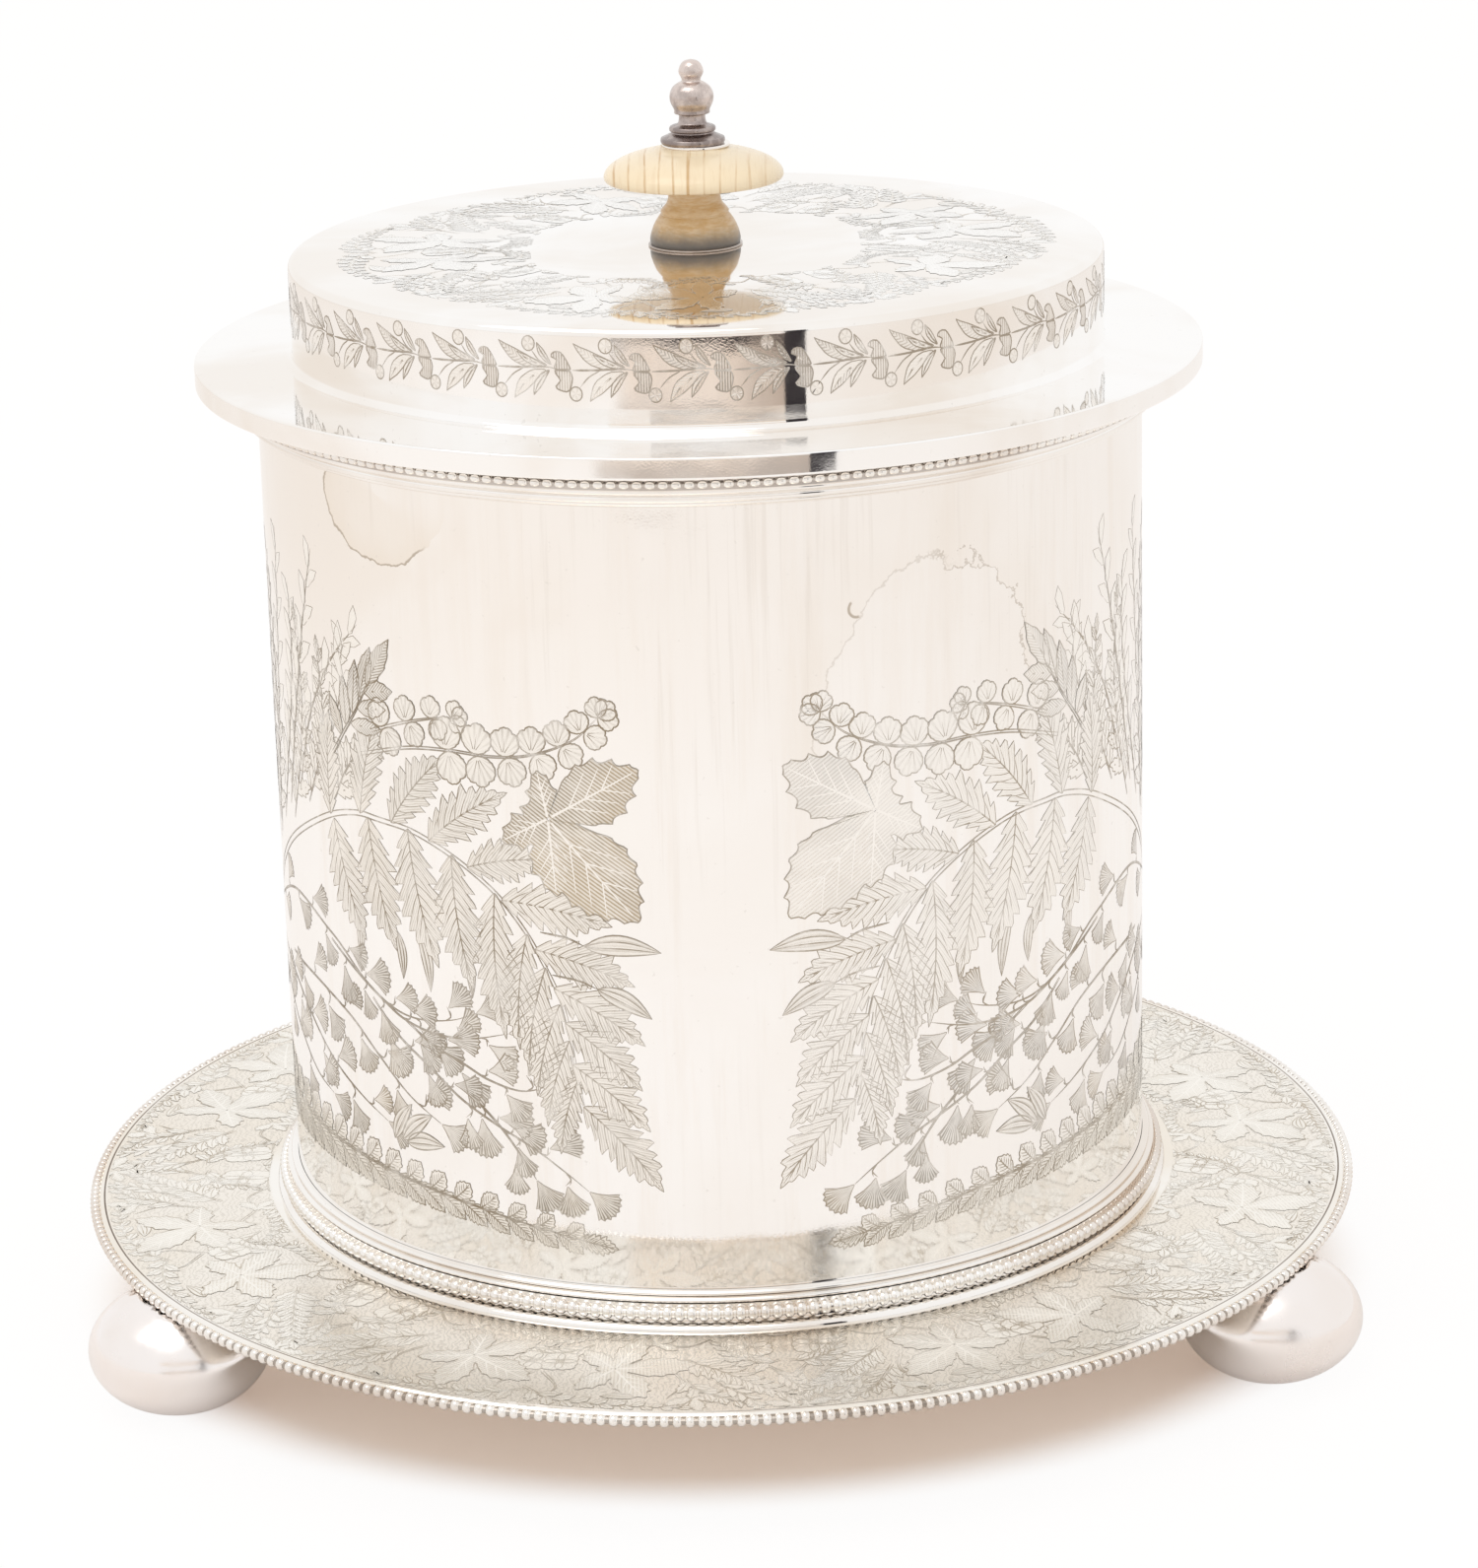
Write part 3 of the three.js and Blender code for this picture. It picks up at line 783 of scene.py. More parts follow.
knob = {
    "bone": (0.96, 0.80, 0.56),
    "boneGrain": (0.62, 0.38, 0.16),
    "horn": (0.70, 0.48, 0.24),
    "hornPale": (0.80, 0.63, 0.42),
    "hornFoot": (0.17, 0.155, 0.14),
    "finialDark": (0.30, 0.25, 0.235),
    "finialPale": (0.74, 0.64, 0.59),
    "brass": (0.72, 0.52, 0.26),
    "turningSteps": 128,
    "washerOffset": (0.5 * mm, 0.3 * mm),
    "seatRound": 0.2 * mm, "washerRound": 0.15 * mm,
    "capRim": 0.8 * mm, "domeSteps": 28,
    "threadTurns": 18, "threadCore": 0.88, "shankCore": 0.96,       # shares of the rod's radius
}

# (radius share, height share) of each turned piece
stemShares = [
    (0.98, 0), (1, 0.06), (0.973, 0.17), (0.893, 0.32), (0.787, 0.44), (0.74, 0.47), (0.753, 0.5),
    (0.733, 0.54), (0.627, 0.63), (0.58, 0.73), (0.57, 0.87), (0.6, 1),
]
finialShares = [
    (0.962, 0), (1, 0.025), (0.99, 0.065), (0.92, 0.08), (0.7, 0.12), (0.66, 0.145), (0.717, 0.155),
    (0.717, 0.19), (0.66, 0.21), (0.47, 0.235), (0.415, 0.29), (0.425, 0.35), (0.55, 0.36), (0.557, 0.405),
    (0.66, 0.49), (0.68, 0.58), (0.585, 0.67), (0.396, 0.725), (0.305, 0.74), (0.305, 0.775), (0.387, 0.85),
    (0.32, 0.935), (0.198, 0.98), (0, 1),
]


def boneFinish():
    made, tree, shader = newMaterial("knob_bone", {"Roughness": 0.22, "Specular IOR Level": 0.6})
    spot = place(tree)
    bend = noise(tree, spot, 0.5, 2, 0.5)
    inputs = {"Vector": spot, "Scale": (1.0, 0.1, 0.08), "Rotation": (0.05, 0.1, 0.35)}
    stretched = node(tree, "Mapping", inputs).outputs[0]
    bands = noise(tree, stretched, 8.5, 3, 0.65, 0.15)
    fine = noise(tree, stretched, 22, 3, 0.6)
    parts = node(tree, "SeparateXYZ", {0: spot})
    side = ramp(tree, calc(tree, "ADD", parts.outputs[0], parts.outputs[1]), -1.6, 0.9, 1, 0.3)
    inputs = {"Vector": stretched, "Scale": 1.35, "Distortion": 2.2, "Detail": 2, "Detail Scale": 2.5}
    grain = node(tree, "TexWave", inputs).outputs["Fac"]
    lines = times(tree, ramp(tree, grain, 0.9, 0.985), ramp(tree, bands, 0.35, 0.6, 0.25, 1), side, 0.75)
    lines = calc(tree, "ADD", lines, ramp(tree, bands, 0.5, 0.7, 0, 0.16))
    lines = calc(tree, "ADD", lines, ramp(tree, fine, 0.55, 0.75, 0, 0.15), True)
    shaded = tuple(c * 0.93 for c in knob["bone"])
    body = blendColour(tree, ramp(tree, bend, 0.3, 0.7), knob["bone"], shaded)
    paint(tree, shader, blendColour(tree, lines, body, knob["boneGrain"]))
    addBump(tree, shader, fine, 0.08, 0.0003)
    return made


def hornFinish():
    made, tree, shader = newMaterial("knob_horn", {"Roughness": 0.3})
    spot = place(tree)
    height = node(tree, "SeparateXYZ", {0: spot}).outputs[2]
    low, high = corners("knob_stem")
    low, high = low[2] * 100, high[2] * 100
    wander = times(tree, noise(tree, spot, 2.2, 4, 0.6), 0.25)
    dark = ramp(tree, calc(tree, "SUBTRACT", height, wander), low - 0.1, low + 0.26, 1, 0)
    flecks = ramp(tree, noise(tree, place(tree, (1, 1, 4)), 5, 4, 0.65), 0.35, 0.7)
    body = blendColour(tree, flecks, knob["horn"], knob["hornPale"])
    paint(tree, shader, blendColour(tree, dark, body, knob["hornFoot"]))
    addBump(tree, shader, noise(tree, place(tree, (0.2, 0.2, 9)), 3, 2, 0.5), 0.15, 0.0003)
    return made


def finialFinish():
    made, tree, shader = newMaterial("knob_worn_silver_painted_top_light", {"Metallic": 1})
    spot = place(tree)
    height = node(tree, "SeparateXYZ", {0: spot}).outputs[2]
    low, high = corners("knob_finial")
    # paler towards the top: painted light from above, over patches of real wear
    pale = ramp(tree, height, low[2] * 100, high[2] * 100 - 0.25, 0, 0.85)
    patch = ramp(tree, noise(tree, spot, 5, 4, 0.6), 0.35, 0.68, -0.25, 0.3)
    amount = calc(tree, "ADD", pale, patch, True)
    paint(tree, shader, blendColour(tree, amount, knob["finialDark"], knob["finialPale"]),
          ramp(tree, noise(tree, spot, 12, 3, 0.5), 0.3, 0.7, 0.14, 0.3))
    addBump(tree, shader, noise(tree, spot, 16, 3, 0.6), 0.12, 0.0003)
    return made


def brassFinish():
    made, tree, shader = newMaterial("knob_brass", {"Metallic": 1})
    spot = place(tree)
    dull = ramp(tree, noise(tree, spot, 4, 4, 0.6), 0.35, 0.7)
    darker = tuple(c * 0.6 for c in knob["brass"])
    paint(tree, shader, blendColour(tree, dull, knob["brass"], darker),
          ramp(tree, noise(tree, spot, 9, 3, 0.5), 0.3, 0.7, 0.28, 0.45))
    addBump(tree, shader, noise(tree, spot, 25, 2, 0.5), 0.2, 0.0002)
    return made


def makeKnob():
    steps = knob["turningSteps"]
    bone, horn, worn, brass = boneFinish(), hornFinish(), finialFinish(), brassFinish()
    rodRadius = reach("knob_rod")

    def simpleRing(name, nodeName, rounding, material, slotName):
        low, high = corners(nodeName)
        radius = high[0]
        outline = [(rodRadius, low[2]), (radius, low[2]), (radius, high[2]), (rodRadius, high[2])]
        piece = lathe(name, filleted(outline, (0, rounding, rounding, 0)), material, steps=steps)
        return settle(piece, "lid", slotName, nodeName)

    def turned(nodeName, shares, pieces):
        low, high = corners(nodeName)
        shape = [complex(high[0] * r, low[2] + (high[2] - low[2]) * h) for r, h in shares]
        return [(z.real, z.imag) for z in spline(shape, pieces=pieces)]

    simpleRing("knob_seat_plate", "knob_rose", knob["seatRound"], seatAndBeadShadeSilver, "silver_plate")

    shape = turned("knob_stem", stemShares, 5)
    shape = [(rodRadius, shape[0][1])] + shape + [(rodRadius, shape[-1][1])]
    settle(lathe("knob_turned_stem", shape, horn, steps=steps), "lid", "knob_horn", "knob_stem")

    low, high = corners("knob_cap")
    seat = reach("knob_washer")
    rim = knob["capRim"]
    dome = high[2] - low[2] - rim
    outline = [(rodRadius, low[2]), (high[0] - rim, low[2])]
    outline += arcPoints(high[0] - rim, low[2] + rim, rim, rim, -75, 0, 6)
    domed = arcPoints(0, low[2] + rim, high[0], dome, 0, 90, knob["domeSteps"])[1:-1]
    outline += [(r, z) for r, z in domed if r > seat * 1.03]
    outline += [(seat, high[2]), (rodRadius, high[2])]
    cap = lathe("knob_bone_cap", outline, bone, steps=steps, smoothAngle=45)
    settle(cap, "lid", "knob_bone", "knob_cap")

    washer = simpleRing("knob_cap_washer", "knob_washer", knob["washerRound"], plainSilver, "silver_plate")
    for vertex in washer.data.vertices:
        if math.hypot(vertex.co.x, vertex.co.y) > rodRadius * 1.5:
            vertex.co.x += knob["washerOffset"][0]
            vertex.co.y += knob["washerOffset"][1]

    shape = turned("knob_finial", finialShares, 4)
    finial = lathe("knob_cast_finial", [(0, shape[0][1])] + shape, worn, steps=steps, closed=False,
                   smoothAngle=60)
    settle(finial, "lid", "worn_silver", "knob_finial")

    low, high = corners("knob_rod")
    top, turns = bottomOf("knob_rose"), knob["threadTurns"]
    core, shank = rodRadius * knob["threadCore"], rodRadius * knob["shankCore"]
    thread = [(0, low[2])]
    for i in range(turns):
        z = low[2] + (top - low[2]) * i / turns
        thread += [(core, z), (rodRadius, z + (top - low[2]) / turns / 2)]
    thread += [(shank, top), (shank, high[2]), (0, high[2])]
    rod = lathe("knob_threaded_rod", thread, brass, steps=32, closed=False)
    settle(rod, "lid", "knob_brass", "knob_rod")
    simpleRing("knob_brass_washer", "knob_nut_washer", knob["washerRound"], brass, "knob_brass")

    low, high = corners("knob_nut")
    across = high[0]
    sides, lifts = 6, ((0, 0.86), (0.12, 1), (0.88, 1), (1, 0.86))
    verts = []
    for share, wide in lifts:
        for i in range(sides):
            angle = 2 * math.pi * i / sides
            z = low[2] + (high[2] - low[2]) * share
            verts.append((across * wide * math.cos(angle), across * wide * math.sin(angle), z))
    faces = [tuple(reversed(range(sides))), tuple(range(3 * sides, 4 * sides))]
    for r in range(3):
        for i in range(sides):
            j = (i + 1) % sides
            faces.append((r * sides + i, r * sides + j, (r + 1) * sides + j, (r + 1) * sides + i))
    nut = meshObject("knob_hex_nut", verts, faces, brass)
    settle(nut, "lid", "knob_brass", "knob_nut")


makeKnob()
print("knob ready")


# Engraver's tools. A pattern is flat, in millimetres, and its points are complex numbers.

engraving = {
    "stroke": 0.22, "veinStroke": 0.14, "ribStroke": 0.24,         # widths of the cut lines
    "shadeLift": 0.006,           # leaf faces stand this far off the plate
    "layerLift": 0.0004,          # and a little more where leaves cross
    "layers": (0, 97),
    "burrLift": 0.0045,           # edges of a cut line over its leaf
    "grooveLift": 0.001,
    "hatchPitch": 0.56,
    # colours of the cut lines, clean and stained
    "line": ((0.56, 0.52, 0.465), (0.42, 0.36, 0.285)),
    # the barrel's left bouquet takes these darker lines: painted shade on that side
    "shadedSideLine": ((0.47, 0.425, 0.365), (0.32, 0.26, 0.19)),
    "fineLine": ((0.72, 0.67, 0.59), (0.55, 0.475, 0.375)),
    "faintLine": ((0.86, 0.83, 0.785), (0.77, 0.715, 0.635)),
    "bandLine": ((0.50, 0.45, 0.39), (0.38, 0.32, 0.25)),
    # colours of a leaf: blank, hatched, hatched and stained
    "leaf": ((0.955, 0.93, 0.89), (0.44, 0.41, 0.375), (0.66, 0.57, 0.45)),
    # the barrel's left bouquet takes these darker leaves: painted shade on that side
    "shadedSideLeaf": ((0.945, 0.91, 0.855), (0.36, 0.32, 0.27), (0.52, 0.425, 0.30)),
    "fineLeaf": ((0.95, 0.91, 0.84), (0.56, 0.51, 0.44), (0.72, 0.62, 0.49)),
    "faintLeaf": ((0.96, 0.94, 0.91), (0.80, 0.765, 0.71), (0.84, 0.785, 0.70)),
    "bandLeaf": ((0.945, 0.905, 0.85), (0.42, 0.37, 0.32), (0.55, 0.47, 0.37)),
}


def lineFinish(name, clean, stained):
    made, tree, shader = newMaterial(name, {"Metallic": 1, "Roughness": 0.35})
    spot = place(tree)
    stain = ramp(tree, noise(tree, spot, 0.5, 4, 0.6), 0.42, 0.62)
    colour = blendColour(tree, stain, clean, stained)
    worn = ramp(tree, noise(tree, spot, 2.5, 3, 0.6), 0.45, 0.7, 0, 0.6)
    paint(tree, shader, blendColour(tree, worn, colour, engraving["leaf"][0]))
    return made


# the mesh attribute "cut" holds the hatch phase, how dark the leaf is and how brown
def leafFinish(name, blank, hatched, stained, gloss=(0.1, 0.34)):
    made, tree, shader = newMaterial(name, {"Metallic": 1})
    spot = place(tree)
    cut = node(tree, "Attribute", attribute_name="cut", attribute_type="GEOMETRY").outputs["Vector"]
    phase, darkness, brown = node(tree, "SeparateXYZ", {0: cut}).outputs
    wave = calc(tree, "PINGPONG", phase, 0.5)
    ragged = times(tree, noise(tree, spot, 14, 2, 0.5), 0.16)
    hatch = ramp(tree, calc(tree, "SUBTRACT", wave, ragged), 0.02, 0.2, 1, 0)
    patchy = ramp(tree, noise(tree, spot, 1.1, 4, 0.6), 0.3, 0.7, 0.55, 1.35)
    strength = times(tree, darkness, patchy)
    amount = times(tree, hatch, times(tree, strength, 0.9))
    amount = calc(tree, "ADD", amount, times(tree, strength, 0.24), True)
    dirt = ramp(tree, noise(tree, spot, 0.45, 4, 0.6), 0.4, 0.66, 0, 0.75)
    dark = blendColour(tree, calc(tree, "ADD", dirt, brown, True), hatched, stained)
    paint(tree, shader, blendColour(tree, amount, blank, dark), ramp(tree, strength, 0, 0.5, *gloss))
    addBump(tree, shader, hatch, 0.15, -0.00008)
    return made


def heading(line):
    d = np.gradient(line)
    return d / np.maximum(np.abs(d), 1e-9)


# a point and direction part of the way along a line
def along(line, share):
    lengths = np.concatenate(([0], np.cumsum(np.abs(np.diff(line)))))
    at = share * lengths[-1]
    point = np.interp(at, lengths, line.real) + 1j * np.interp(at, lengths, line.imag)
    near = min(len(line) - 1, max(0, int(np.searchsorted(lengths, at))))
    return point, heading(line)[near]


class Engraving:
    def __init__(self, name, wrap, body, lineMaterial, leafMaterial, lineScale=1.0):
        self.name, self.wrap, self.body = name, wrap, body
        self.lineMaterial, self.leafMaterial, self.lineScale = lineMaterial, leafMaterial, lineScale
        self.put = lambda z: z           # moves a motif to its place on the pattern
        self.layer = 0
        self.layers = engraving["layers"]
        self.brown = 0.0
        self.points = {"leaves": [], "cut_lines": []}
        self.faces = {"leaves": [], "cut_lines": []}
        self.count = {"leaves": 0, "cut_lines": 0}

    # what is cut in a lower range of layers lies behind
    def useLayers(self, low, high):
        self.layers, self.layer = (low, high), low

    def nextLayer(self, needed=1):
        self.layer = self.layer + 1 if self.layer + needed < self.layers[1] else self.layers[0]

    def lift(self):
        return engraving["shadeLift"] + self.layer * engraving["layerLift"]

    # rows of points become a sheet, with the hatch phase and darkness of each point
    def sheet(self, rows, phase=0.0, dark=0.0, lifts=None, kind="leaves"):
        count, wide = rows.shape
        z = self.put(rows)
        columns = (z.real, z.imag, self.lift() if lifts is None else lifts, phase, dark, self.brown)
        data = np.stack([np.broadcast_to(column, rows.shape) for column in columns], axis=-1)
        i = self.count[kind] + (np.arange(count - 1)[:, None] * wide + np.arange(wide - 1)).ravel()
        self.points[kind].append(data.reshape(-1, 6))
        self.faces[kind].append(np.stack([i, i + 1, i + 1 + wide, i + wide], axis=-1))
        self.count[kind] += count * wide

    # a cut line that swells in the middle and thins at its ends
    def groove(self, line, width=engraving["stroke"], ends=(0.35, 0.12)):
        t = np.linspace(0, 1, len(line))
        swell = np.minimum(np.minimum(1, ends[0] + t * 5), ends[1] + (1 - t) * 3.5)
        side = 1j * heading(line) * width * self.lineScale / 2 * swell
        rows = np.stack([line + side, line, line - side], axis=-1)
        high, low = self.lift() + engraving["burrLift"], self.lift() + engraving["grooveLift"]
        self.sheet(rows, lifts=np.array([high, low, high]), kind="cut_lines")

    def finish(self):
        for kind, material in (("leaves", self.leafMaterial), ("cut_lines", self.lineMaterial)):
            data, quads = np.concatenate(self.points[kind]), np.concatenate(self.faces[kind])
            points = self.wrap(data[:, 0], data[:, 1], data[:, 2])
            outward = self.wrap(data[:, 0], data[:, 1], data[:, 2] + 1) - points
            a, b, c, d = (points[quads[:, k]] for k in range(4))
            inward = (np.cross(c - a, d - b) * outward[quads[:, 0]]).sum(axis=1) < 0
            quads[inward] = quads[inward][:, ::-1]
            mesh = bpy.data.meshes.new(self.name + "_" + kind)
            mesh.vertices.add(len(points))
            mesh.vertices.foreach_set("co", points.astype(np.float32).ravel())
            mesh.loops.add(quads.size)
            mesh.loops.foreach_set("vertex_index", quads.astype(np.int32).ravel())
            mesh.polygons.add(len(quads))
            mesh.polygons.foreach_set("loop_start", np.arange(0, quads.size, 4, dtype=np.int32))
            mesh.update(calc_edges=True)
            cut = mesh.attributes.new("cut", "FLOAT_VECTOR", "POINT")
            cut.data.foreach_set("vector", data[:, 3:].astype(np.float32).ravel())
            mesh.materials.append(material)
            mesh.shade_smooth()
            piece = bpy.data.objects.new(self.name + "_" + kind, mesh)
            bpy.context.scene.collection.objects.link(piece)
            settle(piece, self.body, "silver_plate")
            print(piece.name, "has", len(quads), "faces")

    # a strip left blank, such as the rib of a hatched leaf
    def strip(self, line, width):
        side = 1j * heading(line) * width / 2 * np.linspace(1, 0.4, len(line))
        rows = np.stack([line + side, line - side], axis=-1)
        self.sheet(rows, phase=0.5, lifts=self.lift() + engraving["layerLift"] / 2)

    def stem(self, points, width=0.7):
        line = spline(points)
        t = np.linspace(0, 1, len(line))
        side = 1j * heading(line) * width / 2 * (1 - 0.75 * t)
        self.groove(line + side)
        self.groove(line - side)
        return line

    # a pointed leaf with saw teeth, a midrib and side veins
    def blade(self, base, tip, width, bend=0.0, teeth=7, depth=0.3, tone=0.45, full=0.42, veins=True,
              rib=True, edge=0.2):
        axisSize = abs(tip - base)
        if axisSize < 0.5:
            return
        direction = (tip - base) / axisSize
        shares, swell = [0.0], [0.0]
        for k in range(teeth):
            start, end = k / teeth, (k + 1) / teeth
            shares += [start + 0.08 / teeth + 0.001, start + 0.62 * (end - start), end - 0.1 / teeth]
            swell += [1 - depth, 1 - depth * 0.1, 1 + depth * 0.25]
        t = np.array(shares + [1.0])
        power = math.log(0.5) / math.log(full)
        profile = np.sin(np.pi * t ** power) ** (0.62 + 0.55 * t)     # blunt at its base, pointed at its tip
        uneven = 1 + 0.22 * depth * np.sin(7.3 * np.arange(len(t)) + self.layer)
        half = width / 2 * profile * np.array(swell + [0.0]) * uneven
        centre = base + direction * axisSize * (t + 1j * bend * 4 * t * (1 - t))
        turn = heading(centre)
        reached = np.maximum.accumulate(axisSize * t + half * 0.35)       # teeth lean towards the tip
        forward = turn * (reached - axisSize * t)
        left, right = centre + 1j * turn * half + forward, centre - 1j * turn * half + forward
        left[-1] = right[-1] = tip
        columns = 1 + 2 * max(1, math.ceil(width / 2 / 2.2))
        f = np.linspace(-1, 1, columns)
        rows = np.where(f < 0, centre[:, None] - f * (left - centre)[:, None],
                        centre[:, None] + f * (right - centre)[:, None])
        phase = (axisSize * t * 0.8)[:, None] - np.abs(f) * half[:, None] * 0.75
        self.sheet(rows, phase / engraving["hatchPitch"], tone * (0.8 + 0.35 * np.abs(f)))
        self.groove(left, edge, (0.6, 0.5))
        self.groove(right[::-1], edge, (0.6, 0.5))

        def at(line, share):
            return np.interp(share, t, line.real) + 1j * np.interp(share, t, line.imag)

        if rib:
            steps = 12 if veins else 4
            self.groove(at(centre, np.linspace(0, 1, steps)), engraving["ribStroke"], (0.9, 0.1))
        for k in range(teeth + 1 if veins else 0):
            share = 0.08 + 0.76 * k / (teeth + 1)
            root = at(centre, share)
            for rim in (left, right):
                end = root + (at(rim, share + 0.16) - root) * 0.82
                middle = (root + end) / 2 - direction * abs(end - root) * 0.07
                self.groove(spline([root, middle, end], 1.2), engraving["veinStroke"], (1, 0.1))

    # a maidenhair leaflet: a wedge with radiating cuts
    def fan(self, apex, direction, size, spread=1.25, tone=0.95):
        columns = 15
        angles = np.linspace(-spread / 2, spread / 2, columns)
        sizes = size * (1 - 0.14 * (2 * angles / spread) ** 2 + 0.035 * np.cos(np.arange(columns) * math.pi))
        shares = np.array([0.03, 0.3, 0.62, 0.9, 1.0])[:, None]
        rows = apex + shares * sizes * direction * np.exp(1j * angles * (0.6 + 0.4 * shares))
        phase = np.linspace(0, max(7, size * spread / 0.6), columns)
        self.sheet(rows, phase, tone * (0.4 + 0.75 * shares))
        outline = np.concatenate([rows[:, 0], rows[-1, 1:-1], rows[::-1, -1]])
        self.groove(outline, ends=(0.5, 0.5))
        for k in range(2, columns - 1, 2):
            self.groove(rows[2:, k], engraving["veinStroke"], (0.1, 0.6))

    # a round scalloped petal
    def petal(self, base, direction, size, tone=0.4):
        count = 41
        around = np.linspace(0, 2 * math.pi, count)
        notch = np.exp(-((np.abs(around - math.pi) - 0.62) / 0.13) ** 2)
        scallop = 1 - 0.15 * notch + 0.02 * np.cos(17 * around)
        middle = base + direction * size * 0.5
        turned = np.exp(1j * around) * scallop
        wide = 1.08j * turned.imag * (0.8 + 0.2 * np.abs(turned.imag))
        rim = middle - direction * size * 0.54 * (turned.real + wide)
        shares = np.array([0.0, 0.55, 1.0])[:, None]
        rows = base + shares * (rim - base)
        self.sheet(rows, np.linspace(0, 11, count), tone * (0.55 + 0.6 * shares))
        self.groove(rim, engraving["ribStroke"], (0.8, 0.8))
        for turn in (-0.45, 0, 0.45):
            vein = direction * np.exp(1j * turn)
            self.groove(np.array([base + vein * size * 0.12, base + vein * size * 0.66]), 0.16, (1, 0.1))

    # a vine leaf, one plump and toothed lobe to each tip
    def vineLeaf(self, centre, tips, tone, plump=0.235, hatchAngle=0.96, tooth=2.1, ribWidth=0.42, rings=3):
        self.nextLayer(2 * len(tips) + 2)
        around = np.linspace(-math.pi, math.pi, 301)
        t = np.linspace(1, 0.04, 60)
        half = plump * np.sin(np.pi * t ** 1.1) ** 0.95
        opening, distance = np.maximum.accumulate(np.arctan2(half, t)), np.hypot(half, t)
        reached = np.full(len(around), 0.2 * max(abs(tip - centre) for tip in tips))
        for tip in tips:
            off = np.abs((around - np.angle(tip - centre) + math.pi) % (2 * math.pi) - math.pi)
            reached = np.maximum(reached, abs(tip - centre) * np.interp(off, opening, distance, right=0))
        rim = centre + reached * np.exp(1j * around)
        travel = np.concatenate(([0], np.cumsum(np.abs(np.diff(rim)))))
        near = np.min([np.abs(rim - tip) for tip in tips], axis=0)       # the tips themselves stay sharp
        wave = np.abs(np.sin(math.pi * travel / tooth)) ** 0.7
        bite = 0.4 * tooth * np.minimum(1, near / tooth) * (0.6 - wave)
        outward = 0.5 * (rim - centre) / np.abs(rim - centre) - 0.5j * heading(rim)
        rim = rim + outward * bite                 # and the teeth lean towards them
        turn = np.maximum.accumulate(np.unwrap(np.angle(rim - centre)))
        rim = centre + np.abs(rim - centre) * np.exp(1j * np.minimum(turn, turn[0] + 2 * math.pi))
        rim[-1] = rim[0]
        shares = np.linspace(0.02, 1, rings)[:, None]
        rows = centre + shares * (rim - centre)
        phase = (rows * np.exp(-1j * hatchAngle)).real / engraving["hatchPitch"]
        self.sheet(rows, phase, tone * (0.8 + 0.3 * shares))
        self.groove(rim, ends=(0.9, 0.9))
        for tip in tips:
            rib = tip - centre
            self.nextLayer()
            for start in (0.24, 0.42, 0.6):
                for side in (0.62, -0.62):
                    vein = rib * np.exp(1j * side) * (0.44 - 0.3 * start)
                    self.strip(centre + rib * start + vein * np.linspace(0, 1, 2 * rings - 3), ribWidth * 0.6)
            self.nextLayer()
            self.strip(centre + rib * np.linspace(0.04, 0.93, 2 * rings), ribWidth)

    def bud(self, base, tip, width):
        size = abs(tip - base)
        direction = (tip - base) / size
        t = np.linspace(0, 1, 12)
        half = width / 2 * np.sin(np.pi * t ** 0.8) ** 0.9
        centre = base + direction * size * (t + 0.06j * np.sin(math.pi * t))
        f = np.linspace(-1, 1, 3)
        rows = centre[:, None] + 1j * direction * f * half[:, None]
        self.sheet(rows, np.array([0, 2.0, 4.0]), 0.25 + 0.3 * np.abs(f))
        for share in (-1, -0.3, 0.35, 1):
            self.groove(centre + 1j * direction * share * half, ends=(0.5, 0.2))

    def buds(self, rows):
        for x0, y0, x1, y1, width in rows:
            self.nextLayer()
            self.bud(complex(x0, y0), complex(x1, y1), width)

    # leaflets on both sides of a stem, shrinking to its end
    def frond(self, points, count, size, width, angle=55, shrink=0.35, tone=0.45, start=0.08, teeth=5,
              stemWidth=0.5, sides=(1, -1), depth=0.3, veins=True):
        line = self.stem(points, stemWidth) if stemWidth else spline(points)
        end = 0.97
        for side in sides:
            for k in range(count):
                share = start + (1 - start) * (k + (0.5 if side < 0 else 0)) / count
                if share > end:
                    continue
                point, ahead = along(line, share)
                scale = 1 - (1 - shrink) * share
                turn = ahead * np.exp(1j * side * math.radians(angle * (1 - 0.25 * share)))
                self.nextLayer()
                self.blade(point, point + turn * size * scale, width * scale, bend=-0.05 * side, teeth=teeth,
                           tone=tone, depth=depth, veins=veins)
        point, ahead = along(line, end)
        self.blade(point, point + ahead * size * shrink * 1.3, width * shrink * 1.2, teeth=teeth, tone=tone,
                   veins=veins)

    def petalSprig(self, points, count, size, tone, start):
        line = self.stem(points, 0.55)
        for k in range(count):
            for side in (1, -1):
                t = (k + (0.12 if side < 0 else 0)) / count
                point, ahead = along(line, start + (1 - start) * (1.15 * t - 0.15 * t * t))
                outward = ahead * np.exp(1j * side * (1.45 - 0.35 * t))
                self.nextLayer()
                self.petal(point + outward * 0.35, outward, size * (1 - 0.36 * t), tone)
        point, ahead = along(line, 1)
        for turn in (-1.1, 0, 1.1):
            self.nextLayer()
            self.petal(point, ahead * np.exp(1j * turn), size * 0.62, tone)

    # long plain leaves in pairs on a thin stem
    def sprig(self, points, count, size, tone, width=0.42, angle=32, edge=0.2):
        line = self.stem(points, 0.35)
        for k in range(count):
            for side in (1, -1):
                point, ahead = along(line, 0.12 + 0.88 * (k + 0.25 * (side + 1)) / count)
                scale = 1 - 0.45 * k / count
                turn = ahead * np.exp(1j * side * math.radians(angle))
                self.nextLayer()
                self.blade(point, point + turn * size * scale, size * width * scale, teeth=1, depth=0,
                           tone=tone, veins=False, rib=False, bend=-0.08 * side, edge=edge)

